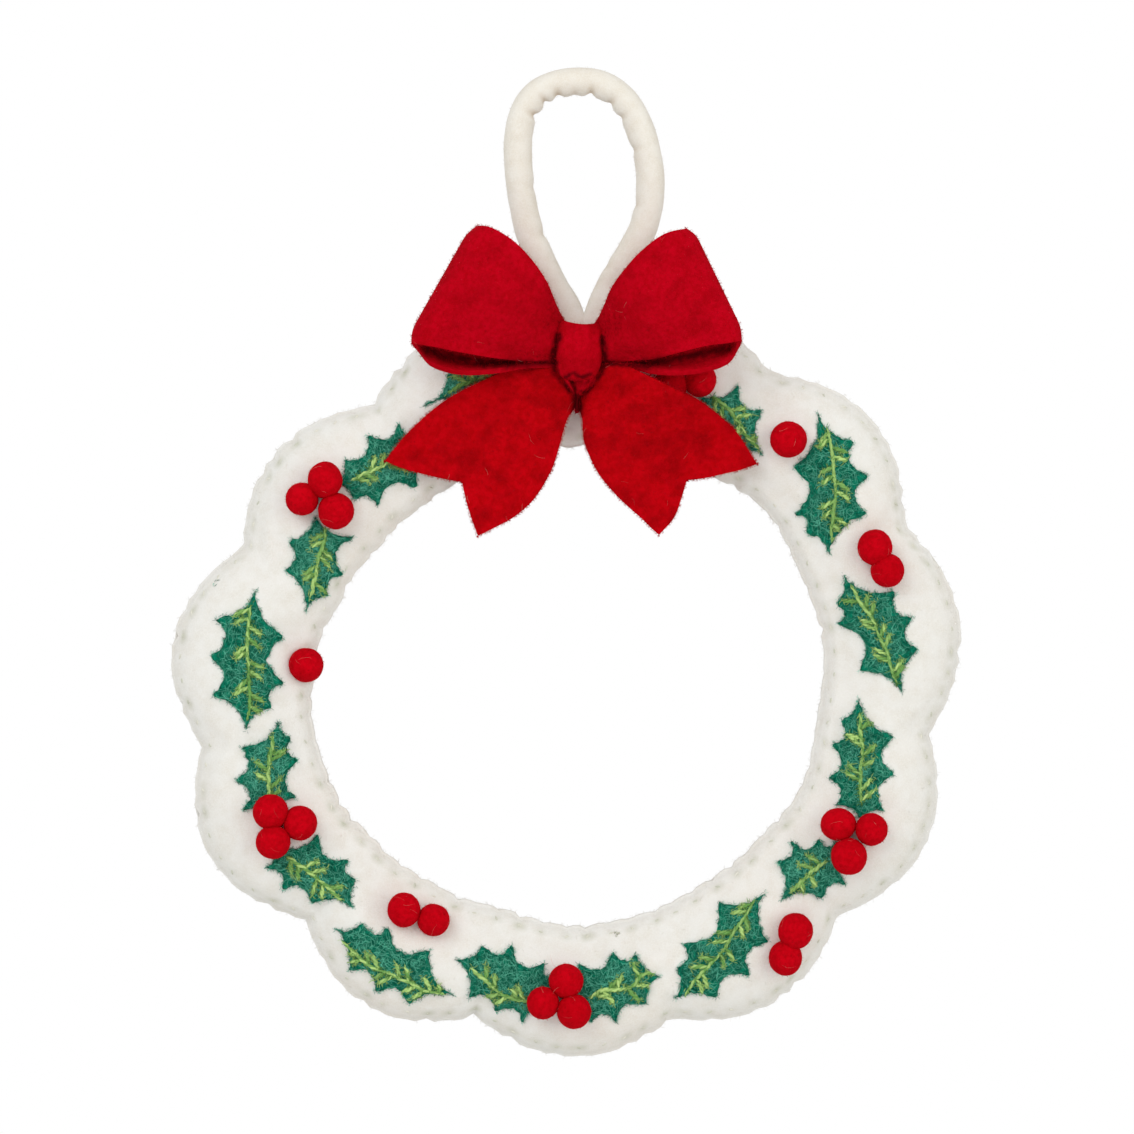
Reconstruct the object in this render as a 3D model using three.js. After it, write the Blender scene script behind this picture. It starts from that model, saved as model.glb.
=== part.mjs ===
// A padded felt wreath: two scalloped felt faces sewn round a ring of wadding, with felt holly leaves,
// felt balls for berries, a red felt bow and a rolled felt loop to hang it by.
// Millimetres, +Z up, the front faces -Y. The origin is where the hook bears, inside the top of the loop.
// y = 0 is the seam between the two faces. Heights are measured from the seam towards the viewer.
import * as THREE from 'three';
import { mergeVertices } from 'three/addons/utils/BufferGeometryUtils.js';

// The ring
const RING_DROP = 244.9;
const RING_SHIFT = -3.4;
const PEAK_RADIUS = 163;
const VALLEY_RADIUS = 150;
const HOLE_RADIUS = 104;
const FELT = 2.2;
const FLANGE = 3.6;
const FRONT_CROWN = 13;
const BACK_CROWN = 8;
const GAP = 0.3;
const THREAD = 0.9;

// Each scallop: where it starts (degrees clockwise from the top), then the shares of the named radii:
// the valley it starts in, its peak, and the edge of the hole behind the valley and behind the peak
const scallopShares = [
  [357, 0.986, 1.000, 0.937, 0.960],
  [33, 1.027, 1.024, 0.998, 1.036],
  [65, 1.030, 1.011, 1.016, 1.022],
  [98.5, 1.011, 1.005, 1.000, 1.018],
  [131.5, 0.995, 0.980, 0.986, 0.975],
  [163.5, 0.988, 0.970, 0.984, 0.990],
  [196, 0.980, 0.991, 0.963, 0.990],
  [228, 1.004, 1.038, 1.020, 1.054],
  [260, 1.053, 1.033, 1.060, 1.034],
  [292, 0.995, 0.964, 0.980, 0.940],
  [324, 0.952, 0.958, 0.921, 0.915],
];
const STEPS_PER_SCALLOP = 7;
const valleyDipShare = 0.1;
// Across the padding, from -1 at one seam to 1 at the other, its height is (1 - |across|^first)^second
const domePowerShares = [2.6, 0.6];
// Where the sections have their points between the seams: on the front face, on its inside, and on the back
// face, which has its height there beside it as a share of the back's crown
const frontDomeShares = [0.9, 0.7, 0.5, 0.3, 0.1];
const underShares = [0.14, 0.5, 0.86];
const backDomeShares = [[0.93, 0.66], [0.72, 1], [0.28, 1], [0.07, 0.66]];

// The holly leaves
const LEAF_LENGTH = 58;
const LEAF_HALF_WIDTH = 16;
const LEAF_FELT = 1.5;
const LEAF_TIP = 1.4;
// How wide it is in the valley between two spikes, and between an end and a spike, as shares of the spikes
const leafValleyShare = 0.64;
const leafEndShare = 0.42;

// Each leaf: place along the ring in scallops, share across the ring, turn from pointing outwards, share
// of the leaf length, then the spikes down its left and right side: share along, share of the half width
const leafShares = [
  [10.52, 0.60, 262, 0.80,
    [[0.20, 0.80], [0.48, 0.90], [0.76, 0.70]], [[0.22, 0.80], [0.50, 0.85], [0.70, 0.55]]],
  [9.83, 0.43, 111, 0.61,
    [[0.07, 0.56], [0.45, 0.97], [0.84, 0.90]], [[0.04, 0.60], [0.28, 0.94], [0.77, 0.84]]],
  [9.06, 0.38, 253, 0.68,
    [[0.13, 1.10], [0.58, 0.92], [0.81, 0.61]], [[0.04, 0.45], [0.29, 0.66], [0.59, 0.68]]],
  [8.42, 0.45, 269, 1.00,
    [[0.30, 0.87], [0.60, 0.91], [0.84, 0.60]], [[0.20, 1.01], [0.50, 1.12], [0.77, 0.99]]],
  [7.80, 0.37, 110, 0.64,
    [[0.05, 0.75], [0.36, 1.10], [0.72, 0.94]], [[0.13, 0.64], [0.56, 0.60], [0.83, 0.42]]],
  [7.14, 0.57, 257, 0.71,
    [[0.26, 0.93], [0.62, 0.90], [0.84, 0.62]], [[0.06, 0.69], [0.33, 0.86], [0.65, 0.66]]],
  [6.50, 0.63, 266, 0.98,
    [[0.14, 0.60], [0.36, 0.84], [0.69, 0.81]], [[0.20, 0.77], [0.48, 0.99], [0.75, 0.80]]],
  [5.96, 0.61, 101, 0.59,
    [[0.04, 0.80], [0.32, 0.83], [0.66, 0.81]], [[0.05, 0.90], [0.45, 0.99], [0.80, 0.62]]],
  [5.23, 0.54, 264, 0.58,
    [[0.06, 0.90], [0.48, 0.98], [0.79, 0.72]], [[0.04, 0.74], [0.36, 0.89], [0.74, 0.72]]],
  [4.62, 0.47, 249, 1.00,
    [[0.16, 0.58], [0.38, 0.83], [0.75, 0.87]], [[0.21, 0.83], [0.48, 1.13], [0.76, 0.91]]],
  [3.96, 0.55, 99, 0.50,
    [[0.13, 0.85], [0.46, 0.76], [0.80, 0.55]], [[0.04, 0.55], [0.36, 1.01], [0.70, 0.84]]],
  [3.18, 0.38, 254, 0.78,
    [[0.06, 0.73], [0.30, 0.87], [0.64, 0.74]], [[0.04, 0.66], [0.33, 0.92], [0.67, 0.95]]],
  [2.48, 0.37, 70, 0.95,
    [[0.27, 1.02], [0.54, 1.12], [0.78, 0.89]], [[0.12, 0.47], [0.36, 0.73], [0.70, 0.83]]],
  [1.60, 0.46, 123, 1.00,
    [[0.21, 0.88], [0.48, 1.18], [0.76, 1.06]], [[0.30, 0.84], [0.62, 0.90], [0.85, 0.58]]],
  [0.98, 0.45, 102, 0.61,
    [[0.04, 0.60], [0.28, 0.94], [0.63, 0.88]], [[0.06, 0.60], [0.36, 0.90], [0.72, 0.80]]],
];

// The berries. Each group: place along the ring in scallops, share across it, how many, and the turn of the
// first one round the middle of the group
const BERRY = 14;
const BERRY_SIDES = 10;
const BERRY_RINGS = 7;
const berryShares = [
  [9.44, 0.55, 3, 15],
  [8.41, 0.08, 1, 0],
  [7.48, 0.46, 3, -37],
  [6.53, 0.26, 2, 110],
  [5.57, 0.56, 3, 15],
  [4.28, 0.74, 2, 20],
  [3.62, 0.52, 3, -48],
  [2.11, 0.65, 2, -30],
  [1.28, 0.52, 1, 0],
  [0.66, 0.58, 2, 82],
];

// The bow. Its heights are measured from its seat, where the knot is sewn to the padding
// Its place in scallops, and its share across the ring
const bowPlaceShare = 0.114;
const bowAcrossShare = 0.675;
const BOW_FELT = 2.2;
const KNOT_TOP_WIDTH = 19.4;
const KNOT_FOOT_WIDTH = 8;
const KNOT_HEIGHT = 31.7;
const KNOT_DEPTH = 13;
const knotTaperShare = 0.75;
const KNOT_CORNERS = 16;
const LOOP_REACH = 70;
const LOOP_RISE = 56;
const LOOP_FRONT = 8.4;
const LOOP_BACK = 4.8;
const LOOP_BULGE = 31;
const bulgeLiftShare = 0.3;
// How far out along a loop its front layer, its fold and its back layer turn, as shares of its reach
const outOfKnotShare = 0.26;
const frontShares = [0.4, 0.5, 0.85];
const foldShares = [1.03, 1.06, 0.8];
const backShares = [0.48, 0.36];
// The steps along each of those three, and where the loop has its points between its top and its foot
const loopSteps = [6, 5, 5];
const loopDownShares = [0, 1 / 3, 2 / 3, 1];
const TAIL_REACH = 81;
const TAIL_DROP = 74;
const TAIL_ROOT = 2.2;
const tailRiseShare = 0.35;
const tailBumpShare = 0.9;
// How far the right loop and the right tail rise where they pass over berries, as shares of what it takes
// to clear the berries
const loopOverShare = 1.15;
const tailOverShare = 1.18;
const TAIL_STEPS = 8;
const tailDownShares = [0, 0.25, 0.5, 0.75, 1];

// Outlines of the bow, as shares of its reach and rise or drop, from the knot outwards
const bowShares = {
  left: {
    loopTop: [[0.08, 0.17], [0.165, 0.20], [0.225, 0.56], [0.395, 0.905], [0.605, 1.0]],
    loopFoot: [[0.08, -0.04], [0.165, -0.035], [0.36, -0.015], [0.71, 0.05], [1.0, 0.127]],
    loopBackFoot: [[0.08, -0.04], [0.165, -0.03], [0.34, -0.025], [0.66, -0.075], [1.0, 0.127]],
    tailTop: [[0.15, 0.035], [0.30, 0.08], [0.46, 0.13], [0.77, 0.30], [1.0, 0.573]],
    tailFoot: [[0.044, 0.24], [0.10, 0.50], [0.228, 0.79], [0.52, 1.0]],
    tailNotch: [0.60, 0.692],
  },
  right: {
    loopTop: [[0.08, 0.17], [0.165, 0.20], [0.215, 0.53], [0.46, 0.905], [0.67, 0.985]],
    loopFoot: [[0.08, -0.04], [0.165, -0.035], [0.385, -0.005], [0.69, 0.065], [0.98, 0.143]],
    loopBackFoot: [[0.08, -0.04], [0.165, -0.03], [0.34, -0.025], [0.66, -0.075], [0.98, 0.143]],
    tailTop: [[0.15, 0.035], [0.27, 0.09], [0.39, 0.14], [0.75, 0.34], [0.93, 0.59]],
    tailFoot: [[0.044, 0.24], [0.03, 0.465], [0.207, 0.777], [0.42, 0.988]],
    tailNotch: [0.565, 0.681],
  },
};

// The hanging loop, a rolled felt tube squashed flat where its ends are sewn to the top of the ring
const TUBE = 11.5;
const TUBE_HALF_WIDTH = 26.7;
const TUBE_END_DEPTH = 4.4;
const TUBE_END_WIDTH = 8;
const TUBE_FLAT = 4.6;
const TUBE_FLARE = 7;
// Its middle line, from the left end over the top to the right end: shares of the half width, and of the
// height from the top of the ring to the middle of the tube where it hangs
const tubeShares = [
  [-0.17, 0], [-0.33, 0.125], [-0.55, 0.25], [-0.79, 0.41], [-0.895, 0.565], [-0.93, 0.73], [-0.89, 0.85],
  [-0.70, 0.95], [-0.37, 0.995], [0, 1.0], [0.40, 0.98], [0.72, 0.89], [0.95, 0.75], [1.07, 0.62],
  [1.07, 0.49], [0.94, 0.36], [0.71, 0.25], [0.46, 0.14], [0.20, 0],
];
// Where its rounded ends have their sections, as shares of their depth, and how far they round over
const tubeEndShares = [0, 0.08, 0.25, 0.5, 1.1];
const endRoundShare = 0.96;
const TUBE_STEPS = 36;
const TUBE_SIDES = 10;

const FULL_TURN = 360;
const degrees = THREE.MathUtils.degToRad;
const lerp = (a, b, share) => a + (b - a) * share;
const ringCentre = new THREE.Vector3(RING_SHIFT, 0, -RING_DROP);

const felt = (name, color, roughness = 0.95) => (
  new THREE.MeshStandardMaterial({ name, color, roughness, metalness: 0 }));
const creamFelt = felt('cream_felt', 0xe7e6e0);
const greenFelt = felt('green_felt', 0x0a6f55);
const redFelt = felt('red_felt', 0xb00114);
const berryFelt = felt('berry_felt', 0xb40210);
const wadding = felt('wadding', 0xf2f1ec, 1);
const thread = felt('cream_thread', 0xdcd8b8, 0.8);

// Solids

// Makes one closed mesh from points and triangles, with its faces turned outwards
function solid(name, points, triangles, material) {
  let volume = 0;
  const cross = new THREE.Vector3();
  for (const [a, b, c] of triangles) volume += points[a].dot(cross.crossVectors(points[b], points[c]));
  const positions = [];
  for (const [a, b, c] of triangles) {
    for (const corner of volume > 0 ? [a, b, c] : [a, c, b]) positions.push(...points[corner].toArray());
  }
  const geometry = new THREE.BufferGeometry();
  geometry.setAttribute('position', new THREE.Float32BufferAttribute(positions, 3));
  const merged = mergeVertices(geometry);
  merged.computeVertexNormals();
  const mesh = new THREE.Mesh(merged, material);
  mesh.name = name;
  return mesh;
}

// Joins a row of like sections into one body, closed on itself or capped at both ends
function loft(name, sections, closed, material) {
  const sides = sections[0].length;
  const points = sections.flat();
  const triangles = [];
  const spans = closed ? sections.length : sections.length - 1;
  for (let i = 0; i < spans; i += 1) {
    for (let j = 0; j < sides; j += 1) {
      const here = i * sides;
      const there = ((i + 1) % sections.length) * sides;
      const next = (j + 1) % sides;
      triangles.push([here + j, there + j, there + next], [here + j, there + next, here + next]);
    }
  }
  if (!closed) {
    const last = (sections.length - 1) * sides;
    for (let j = 1; j < sides - 1; j += 1) {
      triangles.push([0, j, j + 1], [last, last + j + 1, last + j]);
    }
  }
  return solid(name, points, triangles, material);
}

// Gives a grid of points a felt's thickness: below and above are measured along the grid's own normals
function sheet(name, grid, below, above, material) {
  const rows = grid.length;
  const columns = grid[0].length;
  const normalAt = (i, j) => {
    const along = grid[Math.min(i + 1, rows - 1)][j].clone().sub(grid[Math.max(i - 1, 0)][j]);
    const across = grid[i][Math.min(j + 1, columns - 1)].clone().sub(grid[i][Math.max(j - 1, 0)]);
    return across.cross(along).normalize();
  };
  const points = [];
  for (const lift of [below, above]) {
    grid.forEach((row, i) => row.forEach((point, j) => {
      points.push(point.clone().addScaledVector(normalAt(i, j), lift));
    }));
  }
  const at = (side, i, j) => side * rows * columns + i * columns + j;
  const triangles = [];
  const quad = (a, b, c, d) => triangles.push([a, b, c], [a, c, d]);
  for (let i = 0; i < rows - 1; i += 1) {
    for (let j = 0; j < columns - 1; j += 1) {
      quad(at(0, i, j), at(0, i, j + 1), at(0, i + 1, j + 1), at(0, i + 1, j));
      quad(at(1, i + 1, j + 1), at(1, i, j + 1), at(1, i, j), at(1, i + 1, j));
    }
  }
  const rim = [];
  for (let j = 0; j < columns; j += 1) rim.push([0, j]);
  for (let i = 1; i < rows; i += 1) rim.push([i, columns - 1]);
  for (let j = columns - 2; j >= 0; j -= 1) rim.push([rows - 1, j]);
  for (let i = rows - 2; i > 0; i -= 1) rim.push([i, 0]);
  rim.forEach((here, index) => {
    const next = rim[(index + 1) % rim.length];
    quad(at(0, ...here), at(1, ...here), at(1, ...next), at(0, ...next));
  });
  return solid(name, points, triangles, material);
}

// The ring's own measures

// For a place counted in scallops: the hole's radius, the outer radius and how far along its scallop it is
function ringAt(place) {
  const count = scallopShares.length;
  const whole = Math.floor(place);
  const index = ((whole % count) + count) % count;
  const share = place - whole;
  const [start, valleyShare, peakShare, holeValleyShare, holePeakShare] = scallopShares[index];
  const [end, nextValleyShare, , nextHoleShare] = scallopShares[(index + 1) % count];
  const span = (end - start + FULL_TURN) % FULL_TURN;
  const valley = lerp(valleyShare, nextValleyShare, share) * VALLEY_RADIUS;
  const rise = peakShare * PEAK_RADIUS - lerp(valleyShare, nextValleyShare, 0.5) * VALLEY_RADIUS;
  const outer = valley + rise * Math.sin(Math.PI * share);
  const [from, to, part] = share < 0.5
    ? [holeValleyShare, holePeakShare, 2 * share]
    : [holePeakShare, nextHoleShare, 2 * share - 1];
  const inner = lerp(from, to, (1 - Math.cos(Math.PI * part)) / 2) * HOLE_RADIUS;
  return { angle: degrees(start + span * share), inner, outer, share };
}

// The place in scallops of a point of the front view, and its distance from the ring's middle
function placeOf(x, z) {
  const turn = THREE.MathUtils.radToDeg(Math.atan2(x - ringCentre.x, z - ringCentre.z));
  const angle = (turn + FULL_TURN) % FULL_TURN;
  const count = scallopShares.length;
  for (let index = 0; index < count; index += 1) {
    const start = scallopShares[index][0];
    const span = (scallopShares[(index + 1) % count][0] - start + FULL_TURN) % FULL_TURN;
    const passed = (angle - start + FULL_TURN) % FULL_TURN;
    if (passed < span) {
      return { place: index + passed / span, radius: Math.hypot(x - ringCentre.x, z - ringCentre.z) };
    }
  }
  return null;
}

// A point of the ring in the front view, at a place in scallops and a share across from hole to outer edge
function onRing(place, acrossShare) {
  const { angle, inner, outer } = ringAt(place);
  const radius = lerp(inner, outer, acrossShare);
  return { x: ringCentre.x + radius * Math.sin(angle), z: ringCentre.z + radius * Math.cos(angle), angle };
}

const domeShare = (share) => (
  share <= 0 || share >= 1 ? 0 : (1 - Math.abs(2 * share - 1) ** domePowerShares[0]) ** domePowerShares[1]);
const crownAt = (share) => FRONT_CROWN * (1 - valleyDipShare * (1 - Math.sin(Math.PI * share)));
const flangeHeight = GAP / 2 + FELT;

// How far the front face stands in front of the seam
function frontHeight(x, z) {
  const { place, radius } = placeOf(x, z);
  const { inner, outer, share } = ringAt(place);
  const across = (radius - inner - FLANGE) / (outer - inner - 2 * FLANGE);
  return flangeHeight + crownAt(share) * domeShare(across);
}

// The ring's pieces

// Sections of the ring: outline turns a station into a list of [radius, height] pairs
function ringSections(outline) {
  const sections = [];
  for (let i = 0; i < scallopShares.length * STEPS_PER_SCALLOP; i += 1) {
    const station = ringAt(i / STEPS_PER_SCALLOP);
    sections.push(outline(station).map(([radius, height]) => new THREE.Vector3(
      ringCentre.x + radius * Math.sin(station.angle),
      -height,
      ringCentre.z + radius * Math.cos(station.angle),
    )));
  }
  return sections;
}

const stitchRadius = ({ inner, outer }, share) => lerp(inner + FLANGE, outer - FLANGE, share);
function frontPanel() {
  return loft('front_panel', ringSections((station) => {
    const crown = crownAt(station.share);
    const dome = (share, base) => [stitchRadius(station, share), base + crown * domeShare(share)];
    return [
      [station.outer, GAP / 2], [station.outer, flangeHeight], dome(1, flangeHeight),
      ...frontDomeShares.map((share) => dome(share, flangeHeight)),
      dome(0, flangeHeight), [station.inner, flangeHeight], [station.inner, GAP / 2], dome(0, GAP / 2),
      ...underShares.map((share) => dome(share, GAP / 2)),
      dome(1, GAP / 2),
    ];
  }), true, creamFelt);
}

function backPanel() {
  return loft('back_panel', ringSections((station) => {
    const radius = (share) => stitchRadius(station, share);
    const dome = (base) => backDomeShares.map(([share, rise]) => [radius(share), -base - BACK_CROWN * rise]);
    return [
      [station.outer, -GAP / 2], [station.outer, -flangeHeight], [radius(1), -flangeHeight],
      ...dome(flangeHeight),
      [radius(0), -flangeHeight], [station.inner, -flangeHeight],
      [station.inner, -GAP / 2], [radius(0), -GAP / 2],
      ...dome(GAP / 2).reverse(),
      [radius(1), -GAP / 2],
    ];
  }), true, creamFelt);
}

// The wadding fills the space between the two faces and stops short of the seams
function stuffing() {
  return loft('stuffing', ringSections((station) => {
    const crown = crownAt(station.share);
    const radius = (share) => stitchRadius(station, share);
    const front = underShares.map((share) => [radius(share), crown * domeShare(share) - GAP]);
    const back = backDomeShares.slice(1, 3).map(([share]) => [radius(share), GAP - BACK_CROWN]);
    return [...front, ...back];
  }), true, wadding);
}

// The sewing thread lies on the front face, in the crease between the flat hem and the padding
function seamThread(name, middleRadius) {
  const half = THREAD / 2;
  return loft(name, ringSections((station) => {
    const radius = middleRadius(station);
    const height = flangeHeight + GAP + half;
    return [
      [radius - half, height], [radius, height + half], [radius + half, height], [radius, height - half],
    ];
  }), true, thread);
}

// The leaves

// Points down one side of a leaf: a valley between each two spikes, and one between each end and its spike
function leafSide(spikes, halfWidth) {
  const stops = [[0, 0], ...spikes, [1, 0]];
  const edge = [];
  for (let i = 1; i < stops.length; i += 1) {
    const [from, fromWidth] = stops[i - 1];
    const [to, toWidth] = stops[i];
    const atAnEnd = i === 1 || i === stops.length - 1;
    const width = atAnEnd
      ? leafEndShare * Math.max(fromWidth, toWidth)
      : leafValleyShare * Math.min(fromWidth, toWidth);
    edge.push([(from + to) / 2, width * halfWidth]);
    if (i < stops.length - 1) edge.push([to, toWidth * halfWidth]);
  }
  return edge;
}

// The front view's grid of a leaf: rows from its foot to its tip, five points across each
function leafOutline([place, acrossShare, turn, lengthShare, left, right]) {
  const { x, z, angle } = onRing(place, acrossShare);
  const heading = angle + degrees(turn);
  const along = { x: Math.sin(heading), z: Math.cos(heading) };
  const side = { x: -along.z, z: along.x };
  const length = LEAF_LENGTH * lengthShare;
  const leftEdge = leafSide(left, LEAF_HALF_WIDTH);
  const rightEdge = leafSide(right, LEAF_HALF_WIDTH);
  const rows = [[0, LEAF_TIP / 2, 0, LEAF_TIP / 2]];
  leftEdge.forEach(([share, width], i) => rows.push([share, width, rightEdge[i][0], rightEdge[i][1]]));
  rows.push([1, LEAF_TIP / 2, 1, LEAF_TIP / 2]);
  return rows.map(([leftShare, leftWidth, rightShare, rightWidth]) => {
    const spine = (leftShare + rightShare) / 2;
    return [[leftShare, leftWidth], [lerp(leftShare, spine, 0.5), leftWidth / 2], [spine, 0],
      [lerp(rightShare, spine, 0.5), -rightWidth / 2], [rightShare, -rightWidth]].map(([share, width]) => ({
      x: x + along.x * (share - 0.5) * length + side.x * width,
      z: z + along.z * (share - 0.5) * length + side.z * width,
    }));
  });
}

// The least lift that keeps the flat facets of a grid clear of the front face
function clearLift(outline) {
  let dip = 0;
  for (let i = 0; i < outline.length - 1; i += 1) {
    for (let j = 0; j < outline[0].length - 1; j += 1) {
      const corners = [outline[i][j], outline[i][j + 1], outline[i + 1][j], outline[i + 1][j + 1]];
      for (const [a, b] of [[0, 1], [2, 3], [0, 2], [1, 3], [0, 3], [1, 2]]) {
        const middle = { x: (corners[a].x + corners[b].x) / 2, z: (corners[a].z + corners[b].z) / 2 };
        const chord = (frontHeight(corners[a].x, corners[a].z) + frontHeight(corners[b].x, corners[b].z)) / 2;
        dip = Math.max(dip, frontHeight(middle.x, middle.z) - chord);
      }
    }
  }
  return dip + GAP;
}

const leafOutlines = leafShares.map(leafOutline);
const leafLifts = leafOutlines.map(clearLift);

function leaf(index) {
  const grid = leafOutlines[index].map((row) => row.map(({ x, z }) => (
    new THREE.Vector3(x, -frontHeight(x, z) - leafLifts[index], z))));
  const number = String(index + 1).padStart(2, '0');
  return sheet(`holly_leaf_${number}`, grid, 0, LEAF_FELT, greenFelt);
}

// Whether a point of the front view lies over a leaf, within a margin of its edge
function overLeaf(outline, x, z, margin) {
  const rim = [...outline.map((row) => row[0]), ...[...outline].reverse().map((row) => row.at(-1))];
  let inside = false;
  rim.forEach((here, index) => {
    const next = rim[(index + 1) % rim.length];
    if ((here.z > z) !== (next.z > z)
      && x < here.x + (next.x - here.x) * (z - here.z) / (next.z - here.z)) inside = !inside;
  });
  return inside || rim.some((point) => Math.hypot(point.x - x, point.z - z) < margin);
}

// The front face with the leaves on it
function dressedHeight(x, z) {
  const base = frontHeight(x, z);
  let lift = 0;
  leafOutlines.forEach((outline, index) => {
    if (overLeaf(outline, x, z, GAP)) lift = Math.max(lift, leafLifts[index] + LEAF_FELT + GAP);
  });
  return base + lift;
}

// The berries

// The height at which a ball set down on the dressed ring comes to rest
function restHeight(x, z, radius) {
  const rings = 6;
  const turns = 16;
  let height = 0;
  for (let ring = 0; ring <= rings; ring += 1) {
    const reach = (radius * ring) / rings;
    for (let turn = 0; turn < turns; turn += 1) {
      const angle = degrees((turn * FULL_TURN) / turns);
      const below = dressedHeight(x + reach * Math.sin(angle), z + reach * Math.cos(angle));
      height = Math.max(height, below + Math.sqrt(radius * radius - reach * reach));
    }
  }
  return height + GAP;
}

// Where the middle of each ball of a group lies
function groupPlaces([place, acrossShare, count, turn]) {
  const middle = onRing(place, acrossShare);
  const reach = count === 1 ? 0 : (BERRY + GAP) / (2 * Math.sin(Math.PI / count));
  return Array.from({ length: count }, (_, i) => {
    const angle = degrees(turn + (i * FULL_TURN) / count);
    const x = middle.x + reach * Math.sin(angle);
    const z = middle.z + reach * Math.cos(angle);
    return new THREE.Vector3(x, -restHeight(x, z, BERRY / 2), z);
  });
}

const berryPlaces = berryShares.map(groupPlaces);

function berry(place, index) {
  const mesh = new THREE.Mesh(mergeVertices(ballGeometry(BERRY / 2)), berryFelt);
  mesh.name = `berry_${String(index + 1).padStart(2, '0')}`;
  mesh.rotation.x = -Math.PI / 2;
  mesh.position.copy(place);
  return mesh;
}

function ballGeometry(radius) {
  const geometry = new THREE.SphereGeometry(radius, BERRY_SIDES, BERRY_RINGS);
  geometry.deleteAttribute('normal');
  geometry.deleteAttribute('uv');
  return geometry;
}

// The bow

const bowCentre = onRing(bowPlaceShare, bowAcrossShare);

// The height of the bow's seat, just clear of the padding that lies under the knot
function seatHeight() {
  const samples = 8;
  let height = 0;
  for (let i = 0; i <= samples; i += 1) {
    const z = bowCentre.z + lerp(-KNOT_HEIGHT, KNOT_HEIGHT, i / samples) / 2;
    for (const side of [-1, 0, 1]) {
      height = Math.max(height, frontHeight(bowCentre.x + (side * KNOT_TOP_WIDTH) / 2, z));
    }
  }
  return height + GAP;
}

const bowSeat = seatHeight();

// Heights above the seat: the tails lie on the highest leaf beside the knot, the loops' back layers on the
// tails, and the last group of berries stands up between them
const besideKnot = [leafOutlines[0], leafOutlines.at(-1)].flat(2);
const tailRest = Math.max(...besideKnot.map(({ x, z }) => dressedHeight(x, z))) + BOW_FELT / 2 - bowSeat;
const loopRest = tailRest + 2 * BOW_FELT;
const berryTop = Math.max(...berryPlaces.at(-1).map(({ y }) => -y)) + BERRY / 2 + GAP - bowSeat;
const overBerries = (rest, share) => Math.max(0, berryTop + BOW_FELT / 2 - rest) * share;
const curveOf = (shares, reach, rise, sign) => new THREE.CatmullRomCurve3(shares.map(([across, up]) => (
  new THREE.Vector3(bowCentre.x + sign * across * reach, 0, bowCentre.z + up * rise))));

// The knot: a felt band wound round the middle of the bow, wider at its top than at its foot
function bowKnot() {
  const sections = [];
  for (let i = 0; i < KNOT_CORNERS; i += 1) {
    const angle = (2 * Math.PI * i) / KNOT_CORNERS;
    const up = Math.sign(Math.cos(angle)) * Math.sqrt(Math.abs(Math.cos(angle)));
    const out = Math.sign(Math.sin(angle)) * Math.sqrt(Math.abs(Math.sin(angle)));
    const halfWidth = lerp(KNOT_FOOT_WIDTH, KNOT_TOP_WIDTH, Math.min(1, (up + 1) * knotTaperShare)) / 2;
    const ring = (inset) => [
      -bowSeat - KNOT_DEPTH / 2 - out * (KNOT_DEPTH / 2 - inset),
      bowCentre.z + up * (KNOT_HEIGHT / 2 - inset),
    ];
    const outer = ring(0);
    const inner = ring(BOW_FELT);
    sections.push([
      new THREE.Vector3(bowCentre.x - halfWidth, ...outer),
      new THREE.Vector3(bowCentre.x + halfWidth, ...outer),
      new THREE.Vector3(bowCentre.x + halfWidth, ...inner),
      new THREE.Vector3(bowCentre.x - halfWidth, ...inner),
    ]);
  }
  return loft('bow_knot', sections, true, redFelt);
}

// One loop: a strip that leaves the knot in front, folds over at its outer end and comes back behind
function bowLoop(name, outline, sign, lift) {
  const curve = (shares) => curveOf(shares, LOOP_REACH, LOOP_RISE, sign);
  const top = curve(outline.loopTop);
  const feet = [curve(outline.loopFoot), curve(outline.loopBackFoot)];
  const rest = loopRest + lift;
  const bulge = LOOP_BULGE + lift * bulgeLiftShare;
  const corner = (share, height) => new THREE.Vector2(share, height);
  const fold = bulge - BOW_FELT;
  const profile = [
    [corner(outOfKnotShare, LOOP_FRONT), corner(frontShares[0], LOOP_FRONT),
      corner(frontShares[1], bulge), corner(frontShares[2], fold)],
    [corner(frontShares[2], fold), corner(foldShares[0], fold),
      corner(foldShares[1], rest), corner(foldShares[2], rest)],
    [corner(foldShares[2], rest), corner(backShares[0], rest),
      corner(backShares[1], LOOP_BACK), corner(outOfKnotShare, LOOP_BACK)],
  ].map((corners) => new THREE.CubicBezierCurve(...corners));
  const rows = [[corner(0, LOOP_FRONT), 0]];
  profile.forEach((part, index) => {
    const steps = loopSteps[index];
    for (let i = index === 0 ? 0 : 1; i <= steps; i += 1) {
      rows.push([part.getPoint(i / steps), index + i / steps]);
    }
  });
  rows.push([corner(0, LOOP_BACK), profile.length]);
  const grid = rows.map(([{ x: share, y: height }, travelled]) => {
    const reach = Math.min(share, 1);
    const back = THREE.MathUtils.smoothstep(travelled, 1, 2);
    const high = top.getPoint(reach);
    const low = feet[0].getPoint(reach).lerp(feet[1].getPoint(reach), back);
    return loopDownShares.map((down) => {
      const point = high.clone().lerp(low, down);
      point.y = -bowSeat - height;
      return point;
    });
  });
  return sheet(name, grid, -BOW_FELT / 2, BOW_FELT / 2, redFelt);
}

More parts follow.
